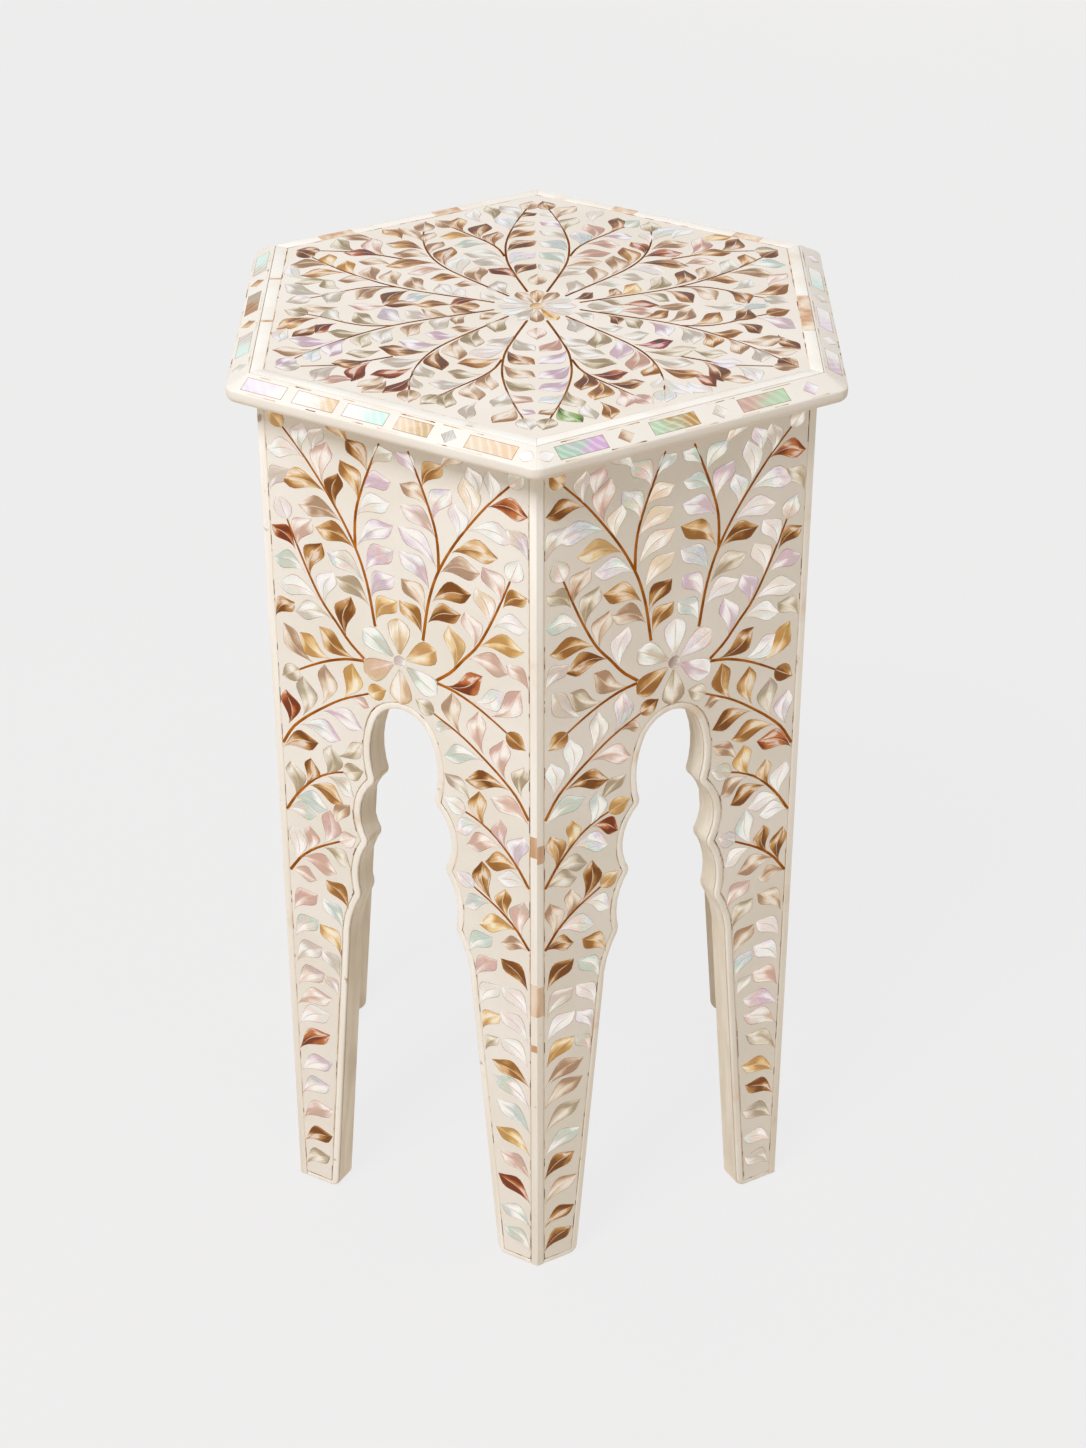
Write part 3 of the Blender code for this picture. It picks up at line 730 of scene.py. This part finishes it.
def cut_plate(masters, leaf, face, depth=1.0):
    """A copy of a master plate with its own mesh, its own tones and its place in the mesh."""
    mesh = masters[leaf.kind].data.copy()
    mesh.transform(plate_matrix(leaf, face))
    paint_plate(mesh, leaf.shells, leaf.turn, depth)
    plate = bpy.data.objects.new(leaf.kind + "_copy", mesh)
    bpy.context.scene.collection.objects.link(plate)
    return plate


def join(pieces, name):
    deselect()
    for piece in pieces:
        piece.select_set(True)
    bpy.context.view_layer.objects.active = pieces[0]
    bpy.ops.object.join()
    joined = pieces[0]
    joined.name = name
    joined.data.name = name
    return joined


def settle(piece, slot, *materials):
    """Gives a finished piece its materials, and fixes it to the table. The slot it is given is not used."""
    finish_of_faces = [face.material_index for face in piece.data.polygons]
    piece.data.materials.clear()
    for material in materials:
        piece.data.materials.append(material)
    piece.data.polygons.foreach_set("material_index", finish_of_faces)
    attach(piece, "root")
    return piece


class Route:
    """A smooth line through a stem's points, in millimetres, that can be asked for any distance along it."""

    SAMPLES = 10
    LOOK_ROUND = 1.0

    def __init__(self, points):
        ends = [2 * np.array(points[0]) - np.array(points[1])]
        ends += [np.array(point, float) for point in points]
        ends += [2 * np.array(points[-1]) - np.array(points[-2])]
        shares = np.linspace(0.0, 1.0, self.SAMPLES, endpoint=False)[:, None]
        line = []
        for before, start, end, after in zip(ends, ends[1:], ends[2:], ends[3:]):
            curve = 2 * start + (end - before) * shares
            curve = curve + (2 * before - 5 * start + 4 * end - after) * shares**2
            curve = curve + (3 * start - before - 3 * end + after) * shares**3
            line.append(curve / 2)
        self.line = np.vstack(line + [np.array([points[-1]], float)])
        steps = np.linalg.norm(np.diff(self.line, axis=0), axis=1)
        self.distance = np.concatenate([[0.0], np.cumsum(steps)])
        self.length = self.distance[-1]

    def at(self, distance):
        return np.array([np.interp(distance, self.distance, self.line[:, axis]) for axis in (0, 1)])

    def heading(self, distance):
        ahead = self.at(min(distance + self.LOOK_ROUND, self.length)) - self.at(max(distance - self.LOOK_ROUND, 0.0))
        return math.atan2(ahead[1], ahead[0])


def turned(points, angle, origin):
    """Points turned by an angle and moved to an origin."""
    cos, sin = math.cos(angle), math.sin(angle)
    points = np.asarray(points, float)
    return np.stack([
        origin[0] + points[:, 0] * cos - points[:, 1] * sin,
        origin[1] + points[:, 0] * sin + points[:, 1] * cos,
    ], axis=1)


def outline_points(outline, hand):
    """Both edges and the middle of a plate's outline, as shares of its length."""
    points = []
    for along, upper, lower in outline:
        points += [(along, hand * upper), (along, hand * lower), (along, hand * (upper + lower) / 2)]
    return np.array(points)


def leaf_points(leaf):
    """The edges and middle of a plate where it lies on its face, in millimetres."""
    plan = MASTERS[leaf.kind]
    points = outline_points(plan.outline, plan.hand) * leaf.length * np.array([1.0, leaf.girth])
    return turned(points, leaf.angle, leaf.base)


def nearest(points, others):
    """The distance from each point to the nearest of the others, or the reach if none is within it."""
    low, high = points.min(axis=0) - REACH, points.max(axis=0) + REACH
    others = others[((others > low) & (others < high)).all(axis=1)]
    if len(others) == 0:
        return np.full(len(points), REACH)
    apart = points[:, None, :] - others[None, :, :]
    return np.sqrt((apart**2).sum(axis=2)).min(axis=1)


class Ground:
    """What is taken on one inlaid face, in millimetres: its border, its stems and the plates laid so far."""

    EDGE_SAMPLES = 60

    def __init__(self, border):
        self.border = np.asarray(border, float)
        following = np.roll(self.border, -1, axis=0)
        shares = np.linspace(0.0, 1.0, self.EDGE_SAMPLES, endpoint=False)[:, None]
        self.edge = np.vstack([start + (end - start) * shares for start, end in zip(self.border, following)])
        self.stems = np.empty((0, 2))
        self.plates = np.empty((0, 2))

    def inside(self, points):
        """Even-odd test of points against the border."""
        x, y = points[:, 0][:, None], points[:, 1][:, None]
        start, end = self.border, np.roll(self.border, -1, axis=0)
        spans = (start[:, 1] > y) != (end[:, 1] > y)
        rise = np.where(end[:, 1] == start[:, 1], 1.0, end[:, 1] - start[:, 1])
        crossing = start[:, 0] + (y - start[:, 1]) / rise * (end[:, 0] - start[:, 0])
        return np.count_nonzero(spans & (x < crossing), axis=1) % 2 == 1

    def is_clear(self, points, base, mirror=(0, 0)):
        """True if a plate with these points, rooted at the base, keeps its clearances and its side of the axes."""
        from_base = np.linalg.norm(points - base, axis=1)
        away, free = points[from_base > NEAR_STEM], points[from_base > NEAR_LEAF]
        keeps_side = all(
            sign == 0 or (free[:, axis] * sign).min() > AXIS_CLEAR for axis, sign in enumerate(mirror)
        )
        return (
            keeps_side
            and self.inside(free).all()
            and nearest(away, self.edge).min() > BORDER_CLEAR
            and nearest(free, self.plates).min() > LEAF_CLEAR
            and nearest(away, self.stems).min() > STEM_CLEAR
        )

    def take(self, points):
        self.plates = np.vstack([self.plates, points])

    def draw(self, line):
        self.stems = np.vstack([self.stems, line])


def lay_leaf(ground, base, angle, side, sizes, shell, turn, mirror=(0, 0)):
    """Lays one leaf at the first of the sizes at which it is clear, or none."""
    kind = "leaf_right" if side == RIGHT else "leaf_left"
    for length, girth in sizes:
        leaf = Leaf(kind, base, angle, length, girth, shell, turn)
        points = leaf_points(leaf)
        if ground.is_clear(points, base, mirror):
            ground.take(points)
            return [leaf]
    return []


def lay_row(ground, row, mirror, width, shells, rng, keep):
    """Lays one row of leaves, each one made smaller until it is clear of what is there."""
    laid = []
    side = row.side * mirror[0] * mirror[1]
    for count, (foot_x, foot_y, tip_x, tip_y) in enumerate(row.leaves):
        base = np.array((foot_x * mirror[0], foot_y * mirror[1]))
        reach = np.array((tip_x * mirror[0], tip_y * mirror[1])) - base
        length = np.linalg.norm(reach) * rng.uniform(*LENGTH_PLAY)
        angle = math.atan2(reach[1], reach[0]) + math.radians(rng.uniform(*ANGLE_PLAY))
        girth = min(max(width / (LEAF_SHARE * length), LEAST_GIRTH), MOST_GIRTH) * rng.uniform(*GIRTH_PLAY)
        shell, turn = shells(count), rng.random()
        sizes = [(length * part, girth * share) for part, share in SMALLER]
        laid += lay_leaf(ground, base, angle, side, sizes, shell, turn, keep)
    return laid


def fill_gaps(ground, heading, least_room, mix, rng):
    """Fills the largest gaps that are left with loose leaves, the widest gap first."""
    low, high = ground.border.min(axis=0), ground.border.max(axis=0)
    spots = np.meshgrid(*(np.arange(start, end, FILL_STEP) for start, end in zip(low, high)))
    spots = np.stack(spots, axis=-1).reshape(-1, 2)
    spots = spots[ground.inside(spots)]
    taken = np.vstack([ground.plates, ground.stems, ground.edge])
    room = np.concatenate([nearest(part, taken) for part in np.array_split(spots, FILL_BATCHES)])
    laid = []
    while room.max() > least_room:
        widest = room.argmax()
        spot, room[widest] = spots[widest], 0.0
        shell = rng.choices(list(mix), list(mix.values()))[0]
        turn, side = rng.random(), rng.choice((LEFT, RIGHT))
        for length, sway in product(FILL_LENGTHS, FILL_SWAYS):
            angle = heading(spot) + math.radians(sway)
            base = spot - FILL_MIDDLE * length * np.array([math.cos(angle), math.sin(angle)])
            leaf = []
            if ground.inside(base[None, :]).all():
                leaf = lay_leaf(ground, base, angle, side, [(length, 1.0)], shell, turn)
            if leaf:
                room = np.minimum(room, nearest(spots, leaf_points(leaf[0])))
                laid += leaf
                break
    return laid


def lay_pattern(ground, stems, mirrors, width, shells_for, rng):
    """Lays every stem with its bud and rows, once for each mirroring. Returns the leaves and the routes drawn."""
    leaves, routes, rows = [], [], []
    all_rows = [row for stem in stems for row in stem.rows]
    keeps = [len({mirror[axis] for mirror in mirrors}) > 1 for axis in (0, 1)]
    for mirror in mirrors:
        groups = shells_for(mirror)
        rows += [(row, mirror, groups(number)) for number, row in enumerate(all_rows)]
        buds, bud_count = groups(len(all_rows)), 0
        for stem in stems:
            if stem.route:
                route = Route([(x * mirror[0], y * mirror[1]) for x, y in stem.route])
                ground.draw(route.line)
                routes.append(route)
            if stem.bud:
                base, angle = route.at(route.length), route.heading(route.length)
                leaves.append(Leaf("bud", base, angle, stem.bud, 1.0, buds(bud_count), rng.random()))
                ground.take(leaf_points(leaves[-1]))
                bud_count += 1
    for row, mirror, shells in rows:
        keep = [sign if keeps[axis] else 0 for axis, sign in enumerate(mirror)]
        leaves += lay_row(ground, row, mirror, width, shells, rng, keep)
    return leaves, routes


def rosette(ground, centre, start, length, angles, shells, girth):
    """Petals round a hub."""
    petals = []
    for angle, shell in zip(angles, shells):
        turn = math.radians(angle)
        base = np.array(centre) + start * np.array([math.cos(turn), math.sin(turn)])
        petals.append(Leaf("petal", base, turn, length, girth, shell, PETAL_TURN + PETAL_TURN_STEP * len(petals)))
        ground.take(leaf_points(petals[-1]))
    return petals


def shells_of(key, mix, rng):
    """What shell each leaf is cut from: the groups noted for what the front shows, and a seeded mix for the rest."""
    noted = ROW_SHELLS.get(key, "").split()

    def group(number):
        letters = noted[number] if number < len(noted) else ""

        def pick(count):
            drawn = rng.choices(list(mix), list(mix.values()))[0]
            return letters[count] if count < len(letters) else drawn

        return pick

    return group


def stem_strip(name, route, face, widths):
    """A brown stem let into the resin: a slim strip along its route, a little crowned."""
    foot_width, tip_width = widths
    rows = []
    count = max(STEM_LEAST_ROWS, int(route.length / STEM_STEP))
    for distance in np.linspace(0.0, route.length, count):
        half = (foot_width + (tip_width - foot_width) * distance / route.length) / 2 * MM
        point, heading = route.at(distance) * MM, route.heading(distance)
        aside = np.array([-math.sin(heading), math.cos(heading)]) * half
        rows.append((
            (*(point - aside), SHELL_PROUD / 2),
            (*point, SHELL_PROUD * 2),
            (*(point + aside), SHELL_PROUD / 2),
        ))
    strip = thin_plate(name, rows)
    strip.data.transform(face)
    return strip


def hub_disc(name, centre, radius, face, shells):
    """The round plate in the middle of a rosette, with a softened edge."""
    deselect()
    bpy.ops.mesh.primitive_cylinder_add(vertices=HUB_CORNERS, radius=radius * MM, depth=2 * SHELL_DEPTH)
    disc = bpy.context.active_object
    disc.name = name
    with editing(disc):
        bpy.ops.mesh.bevel(offset=HUB_SOFTENING, segments=2, affect="EDGES")
    top = max(vertex.co.z for vertex in disc.data.vertices)
    lift = Matrix.Translation((centre[0] * MM, centre[1] * MM, HUB_PROUD - top))
    disc.data.transform(face @ lift)
    add_shell_values(disc.data)
    paint_plate(disc.data, shells, HUB_TURN)
    return disc


def inlay(prefix, leaves, lines, hub, face, masters, shell, stem, stem_widths, depth=1.0):
    """Turns a laid pattern into two pieces: the shell plates and the brown stems."""
    plates = [cut_plate(masters, leaf, face, depth) for leaf in leaves]
    settle(join(plates + [hub], f"{prefix}_shell_leaves"), "ivory_resin", shell)
    strips = [stem_strip(f"{prefix}_stem_{count}", route, face, stem_widths) for count, route in enumerate(lines)]
    settle(join(strips, f"{prefix}_stems"), "ivory_resin", stem)


def side_axes(number):
    """Which way a side faces, and which way runs to the right along it as seen from outside."""
    angle = number * SIDE_TURN
    return Vector((math.cos(angle), math.sin(angle), 0.0)), Vector((-math.sin(angle), math.cos(angle), 0.0))


def side_face(number):
    """The axes of one side: across to the right as seen from outside, up, and out."""
    out, across = side_axes(number)
    return Matrix.Translation(out * FACE_APOTHEM) @ Matrix((across, UP, out)).transposed().to_4x4()


def dressed_copy(node, name):
    """A copy of a solid's mesh with its loose triangles merged into whole faces."""
    piece = bpy.data.objects.new(name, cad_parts[node].data.copy())
    bpy.context.scene.collection.objects.link(piece)
    with editing(piece):
        bpy.ops.mesh.remove_doubles(threshold=MERGE)
        bpy.ops.mesh.dissolve_limited(angle_limit=FLAT_ANGLE)
    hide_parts(node)
    return piece


def select_faces(piece, wanted):
    """Selects the faces of a piece that pass a test, and nothing else."""
    mesh = piece.data
    for items in (mesh.vertices, mesh.edges, mesh.polygons):
        items.foreach_set("select", [False] * len(items))
    for face in mesh.polygons:
        face.select = wanted(face)


def is_mitre(face, along):
    """True for the end faces that meet a neighbour at a corner, 30 degrees off square to the run."""
    low, high = MITRE_COSINES
    return low < abs(face.normal.dot(along)) < high


def faces_by_edge(piece):
    """The faces that meet at each edge of a piece."""
    faces_at = {}
    for face in piece.data.polygons:
        for key in face.edge_keys:
            faces_at.setdefault(key, []).append(face)
    return faces_at


def bevel_edges(piece, keys, width, segments):
    """Bevels the edges with the given keys, and no others."""
    select_faces(piece, lambda face: False)
    with editing(piece, whole=False):
        bpy.ops.mesh.select_mode(type="EDGE")
    for edge in piece.data.edges:
        edge.select = edge.key in keys
    with editing(piece, whole=False):
        bpy.ops.mesh.bevel(offset=width, segments=segments, affect="EDGES", clamp_overlap=True)
        bpy.ops.mesh.select_mode(type="FACE")


def soften(piece, width, segments=2, angle=30, along=None):
    """Rounds the sharp edges of a piece. With a run given, its mitred ends are left sharp."""
    sharp = set()
    for key, (first, second) in faces_by_edge(piece).items():
        is_end = along is not None and (is_mitre(first, along) or is_mitre(second, along))
        if not is_end and first.normal.angle(second.normal) > math.radians(angle):
            sharp.add(key)
    bevel_edges(piece, sharp, width, segments)
    bpy.ops.object.shade_smooth_by_angle(angle=math.radians(angle))


def round_cusps(piece, out):
    """Rounds the points in which the scallops of an arch meet."""
    cusps = set()
    for key, (first, second) in faces_by_edge(piece).items():
        start, end = (piece.data.vertices[index].co for index in key)
        is_square = abs((end - start).normalized().dot(out)) > FACING
        is_high = CUSP_HEIGHTS[0] < start.z < CUSP_HEIGHTS[1]
        is_point = (second.center - first.center).dot(first.normal) < 0
        if is_square and is_high and is_point and first.normal.angle(second.normal) > CUSP_ANGLE:
            cusps.add(key)
    bevel_edges(piece, cusps, CUSP_ROUND, segments=3)


def round_arris(strip, face, hand):
    """Rounds the arris that an upright strip shares with its neighbour, by moving its outer face back near it."""
    across, out = face.col[0].to_3d() * hand, face.col[2].to_3d()
    corner = max(vertex.co.dot(across) for vertex in strip.data.vertices)
    tangent = corner - ARRIS_RADIUS * math.tan(SIDE_TURN / 2)
    for angle in ARRIS_STEPS:
        cut_across(strip, across * (tangent + ARRIS_RADIUS * math.sin(math.radians(angle))), across)
    surface = max(vertex.co.dot(out) for vertex in strip.data.vertices)
    for vertex in strip.data.vertices:
        past = vertex.co.dot(across) - tangent
        if past > MERGE and surface - vertex.co.dot(out) < MERGE:
            shift = 0.0
            if corner - vertex.co.dot(across) < MERGE:
                shift = ARRIS_RADIUS * math.sin(SIDE_TURN / 2) - past
            bend = math.asin(min(1.0, (past + shift) / ARRIS_RADIUS))
            vertex.co += across * shift - out * ARRIS_RADIUS * (1 - math.cos(bend))


def close_mitres(piece, along):
    """Brings the mitred ends of a piece up to their neighbours, so that only a hairline is left at the joint."""
    for sign in (1, -1):
        select_faces(piece, lambda face: is_mitre(face, along) and sign * face.normal.dot(along) > 0)
        ends = [face.normal.copy() for face in piece.data.polygons if face.select]
        if ends:
            with editing(piece, whole=False):
                bpy.ops.mesh.select_mode(type="FACE")
                bpy.ops.transform.translate(value=ends[0] * MITRE_REACH)


def darken_stretches(piece, node, along):
    """Cuts a strip across where it is pieced from darker bone, and gives those stretches the second finish."""
    for start, end in DARK_BONE.get(node, ()):
        for place in (start, end):
            cut_across(piece, along * place * MM, along)
        for face in piece.data.polygons:
            if start * MM < face.center.dot(along) < end * MM:
                face.material_index = 1


def field_with_glue_line(node, name, out, sink=0.0):
    """A resin field drawn out to its neighbours, with a hairline inset round its face.

    Returns the piece and the corners that the face had.
    """
    piece = dressed_copy(node, name)
    face = next(face for face in piece.data.polygons if face.normal.dot(out) > FACING)
    corners = [piece.data.vertices[index].co.copy() for index in face.vertices]
    select_faces(piece, lambda face: abs(face.normal.dot(out)) < ASIDE)
    bpy.context.tool_settings.mesh_select_mode = (False, False, True)
    with editing(piece, whole=False):
        bpy.ops.transform.shrink_fatten(value=FIELD_REACH, use_even_offset=True)
    select_faces(piece, lambda face: face.normal.dot(out) > FACING)
    with editing(piece, whole=False):
        bpy.ops.transform.translate(value=-sink * out)
        bpy.ops.mesh.inset(thickness=GLUE_LINE, depth=0.0)
    for face in piece.data.polygons:
        face.material_index = int(face.normal.dot(out) > FACING and not face.select)
    return piece, corners


def side_heading(spot):
    """Which way a loose leaf on a side points: out from below the rosette, and up and inward on the legs."""
    if spot[1] > ROSETTE_HEIGHT - LEGS_DROP:
        return math.atan2(spot[1] - ROSETTE_HEIGHT + FAN_DROP, spot[0])
    return RIGHT_LEG_HEADING if spot[0] > 0 else LEFT_LEG_HEADING


def dress_side(number, side, masters, finishes):
    """One side: its field, core, edging, upright strips and inlay."""
    face = side_face(number)
    across, out = face.col[0].to_3d(), face.col[2].to_3d()
    field, corners = field_with_glue_line(f"side_inlay_field_{side}", f"resin_field_{side}", out)
    settle(field, "ivory_resin", finishes["resin"], finishes["glue"])

    core = dressed_copy(f"side_panel_{side}", f"panel_core_{side}")
    round_cusps(core, out)
    bpy.ops.object.shade_smooth_by_angle(angle=CORE_CREASE)
    settle(core, "lacquered_core", finishes["core"])
    edging = dressed_copy(f"arch_edging_{side}", f"bone_edging_{side}")
    round_cusps(edging, out)
    soften(edging, EDGING_SOFTENING, segments=3, angle=40)
    settle(edging, "bone", finishes["upright_bone"])
    for hand, sign in (("left", -1), ("right", 1)):
        node = f"{hand}_upright_strip_{side}"
        strip = dressed_copy(node, f"{hand}_bone_strip_{side}")
        close_mitres(strip, across)
        round_arris(strip, face, sign)
        soften(strip, STRIP_SOFTENING, along=across)
        darken_stretches(strip, node, UP)
        settle(strip, "bone", finishes["upright_bone"], finishes["dark_bone"])

    rng = random.Random(SIDE_SEED + number)
    flat = face.inverted()
    ground = Ground([((flat @ corner).x / MM, (flat @ corner).y / MM) for corner in corners])
    centre = (0.0, ROSETTE_HEIGHT)
    petal_shells = PETAL_SHELLS.get(side) or rng.choices(list(SIDE_MIX), list(SIDE_MIX.values()), k=len(SIDE_PETALS))
    petals = rosette(ground, centre, SIDE_PETAL_START, SIDE_PETAL_LENGTH, SIDE_PETALS, petal_shells, 1.0)
    leaves, lines = lay_pattern(
        ground, SIDE_STEMS, ((1, 1), (-1, 1)), SIDE_LEAF_WIDTH,
        lambda mirror: shells_of((side, *mirror), SIDE_MIX, rng), rng,
    )
    leaves += fill_gaps(ground, side_heading, SIDE_FILL_ROOM, FILL_MIX, rng)
    hub = hub_disc(f"hub_{side}", centre, SIDE_HUB_RADIUS, face, HUB_SHELLS.get(side, "s"))
    inlay(
        side, petals + leaves, lines, hub, face, masters, finishes["leaf"], finishes["stem"], SIDE_STEM_WIDTHS,
    )


def dress_top(masters, finishes):
    """The top's field and its inlay."""
    field, corners = field_with_glue_line("top_inlay_field", "top_resin_field", UP, TOP_FIELD_SINK)
    settle(field, "ivory_resin", finishes["shaded_top_resin"], finishes["glue"])
    face = Matrix.Translation((0.0, 0.0, TOP_SURFACE - TOP_FIELD_SINK))
    rng = random.Random(TOP_SEED)
    ground = Ground([(corner.x / MM, corner.y / MM) for corner in corners])
    angles = [90 - 360 / len(TOP_PETAL_SHELLS) * count for count in range(len(TOP_PETAL_SHELLS))]
    petals = rosette(ground, (0, 0), TOP_PETAL_START, TOP_PETAL_LENGTH, angles, TOP_PETAL_SHELLS, TOP_PETAL_GIRTH)
    for angle, start, shell in AXIS_LEAVES:
        turn = math.radians(angle)
        base = start * np.array((math.cos(turn), math.sin(turn)))
        leaf = Leaf("bud", base, turn, AXIS_LEAF_LENGTH, 1.0, shell, rng.random())
        # The ground keeps room for the full girth, and the leaf itself is slimmer
        ground.take(leaf_points(leaf))
        petals.append(leaf._replace(girth=AXIS_LEAF_GIRTH))
    leaves, lines = lay_pattern(
        ground, TOP_STEMS, ((1, 1), (-1, 1), (1, -1), (-1, -1)), TOP_LEAF_WIDTH,
        lambda mirror: shells_of(("top", *mirror), TOP_MIX, rng), rng,
    )
    leaves += fill_gaps(ground, lambda spot: math.atan2(spot[1], spot[0]), TOP_FILL_ROOM, TOP_MIX, rng)
    hub = hub_disc("hub_top", (0, 0), TOP_HUB_RADIUS, face, "c")
    # The top's shell tones are deepened here as painted shade
    inlay(
        "top", petals + leaves, lines, hub, face, masters, finishes["leaf"], finishes["top_stem"], TOP_STEM_WIDTHS,
        TOP_SHELL_SHADE,
    )


def rim_face(number):
    """The axes of one rim's slope: along to the right, up the slope, and out of it. Also the slope's width."""
    out, along = side_axes(number)
    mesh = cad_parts[f"top_rim_{SIDES[number]}"].data
    heights = [v.co.z for v in mesh.vertices if abs(v.co.dot(out) - RIM_APOTHEM) < MERGE * 2]
    low = out * RIM_APOTHEM + UP * max(heights)
    high = out * STRINGING_OUTER + UP * TOP_SURFACE
    rise = (high - low).normalized()
    axes = Matrix((along, rise, along.cross(rise))).transposed().to_4x4()
    return Matrix.Translation((low + high) / 2) @ axes, (high - low).length


def dress_rim(number, side, masters, finishes):
    """One side of the rim: its moulding, its stringing and the shell plates set in its slope."""
    face, width = rim_face(number)
    along = face.col[0].to_3d()
    rim = dressed_copy(f"top_rim_{side}", f"rim_moulding_{side}")
    close_mitres(rim, along)
    soften(rim, RIM_SOFTENING, segments=3, angle=20, along=along)
    settle(rim, "inlaid_rim", finishes["rim"])
    node = f"top_stringing_{side}"
    stringing = dressed_copy(node, f"bone_stringing_{side}")
    close_mitres(stringing, along)
    soften(stringing, STRINGING_SOFTENING)
    darken_stretches(stringing, node, along)
    settle(stringing, "bone", finishes["flat_bone"], finishes["dark_bone"])

    rng = random.Random(RIM_SEED + number)
    plans = RIM_SHELLS.get(side, "").split() or [
        "".join(rng.choices(list(SIDE_MIX), list(SIDE_MIX.values()), k=2 if length > LONGEST_DIAMOND else 1))
        for middle, length in RIM_PLACES["others"]
    ]
    plates = []
    for (middle, length), shells in zip(RIM_PLACES.get(side, RIM_PLACES["others"]), plans):
        kind, girth = "diamond", DIAMOND_GIRTH
        if length > LONGEST_DIAMOND:
            kind, girth = "rectangle", RIM_INLAY_WIDTH / length
        leaf = Leaf(kind, (middle - length / 2, -RIM_INLAY_DROP), 0.0, length, girth, shells, rng.random())
        plates.append(cut_plate(masters, leaf, face))
    if side in RIM_CORNER_PETALS:
        start, heading = RIM_CORNER_PETALS[side]
        base = (start, -RIM_INLAY_DROP)
        leaf = Leaf("bud", base, heading, RIM_CORNER_PETAL_LENGTH, 1.0, "w", RIM_CORNER_PETAL_TURN)
        plates.append(cut_plate(masters, leaf, face))
    settle(join(plates, f"rim_shell_plates_{side}"), "inlaid_rim", finishes["plate"])
    dashes = []
    for height in DASH_HEIGHTS:
        start = rng.uniform(*DASH_STARTS)
        while start < DASH_LAST_START:
            length = min(rng.uniform(*DASH_LENGTHS), DASH_END - start)
            girth = rng.uniform(*DASH_WIDTHS) / length
            leaf = Leaf("rectangle", (start, height * width / MM), 0.0, length, girth, "b", 0.0)
            dashes.append(cut_plate(masters, leaf, face))
            start += length + rng.uniform(*DASH_GAPS)
    settle(join(dashes, f"rim_joint_lines_{side}"), "inlaid_rim", finishes["glue"])


def finish_solids(finishes):
    """Materials for the solids that stay as they are."""
    for name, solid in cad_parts.items():
        for prefix, finish in (("top_board", "core"), ("corner_block", "wood"), ("top_screw", "steel")):
            if name.startswith(prefix):
                solid.data.materials.clear()
                solid.data.materials.append(finishes[finish])


def floor_finish():
    """Pale floor: an even tone to the camera, with part of the shadow let through."""
    finish = Finish("pale_floor")
    cloud = finish.noise(3.0)
    seen, in_gloss = finish.rays()
    grey = finish.mix(in_gloss, finish.mix(cloud, (241, 241, 242), (240, 240, 241)), (255, 252, 247))
    finish.set(colour=finish.mix(cloud, (218, 203, 183), (215, 200, 180)), roughness=0.9)
    glow = finish.node("ShaderNodeEmission", {"Color": grey, "Strength": 1.0})
    share = finish.times(seen, FLOOR_GLOW)
    shown = finish.node("ShaderNodeMixShader", {0: share, 1: finish.shader.outputs[0], 2: glow})
    finish.put(finish.tree.nodes["Material Output"].inputs["Surface"], shown)
    return finish.material


def pale_world():
    """Soft light from all round, with the floor's pale tone to the camera and in reflections."""
    world = bpy.data.worlds.new("soft_room")
    world.use_nodes = True
    nodes = Nodes(world.node_tree)
    light = nodes.tree.nodes["Background"]
    light.inputs["Color"].default_value = WORLD_LIGHT
    light.inputs["Strength"].default_value = WORLD_STRENGTH
    pale = nodes.node("ShaderNodeBackground", {"Color": (238, 238, 238)})
    shown = nodes.node("ShaderNodeMixShader", {0: nodes.rays()[0], 1: light.outputs[0], 2: pale})
    nodes.put(nodes.tree.nodes["World Output"].inputs["Surface"], shown)
    return world


def set_stage():
    """Floor, world, lamps and camera."""
    deselect()
    bpy.ops.mesh.primitive_plane_add(size=FLOOR_SIZE)
    floor = bpy.context.active_object
    floor.name = "floor"
    floor.data.materials.append(floor_finish())

    bpy.context.scene.world = pale_world()

    for plan in LAMPS:
        direction = Vector(plan.direction).normalized()
        bpy.ops.object.light_add(type="AREA", location=direction * LAMP_DISTANCE + LAMP_CENTRE)
        lamp = bpy.context.active_object
        lamp.name = plan.name
        lamp.rotation_euler = direction.to_track_quat("Z", "Y").to_euler()
        lamp.data.size = plan.size
        lamp.data.energy = plan.energy
        lamp.data.color = plan.tone
        lamp.visible_glossy = plan.in_gloss

    away = Vector((0.0, -math.cos(CAMERA_ELEVATION), math.sin(CAMERA_ELEVATION)))
    bpy.ops.object.camera_add(location=TARGET + away * CAMERA_DISTANCE)
    camera = bpy.context.active_object
    camera.rotation_euler = (math.pi / 2 - CAMERA_ELEVATION, 0.0, 0.0)
    camera.data.lens = LENS
    camera.data.sensor_width = SENSOR
    bpy.context.scene.camera = camera
    bpy.context.scene.view_settings.view_transform = "Standard"


set_stage()
finishes = make_finishes()
masters = {kind: master_plate(kind, *plan) for kind, plan in MASTERS.items()}
finish_solids(finishes)
for number, side in enumerate(SIDES):
    dress_side(number, side, masters, finishes)
    dress_rim(number, side, masters, finishes)
dress_top(masters, finishes)
for master in masters.values():
    bpy.data.objects.remove(master)
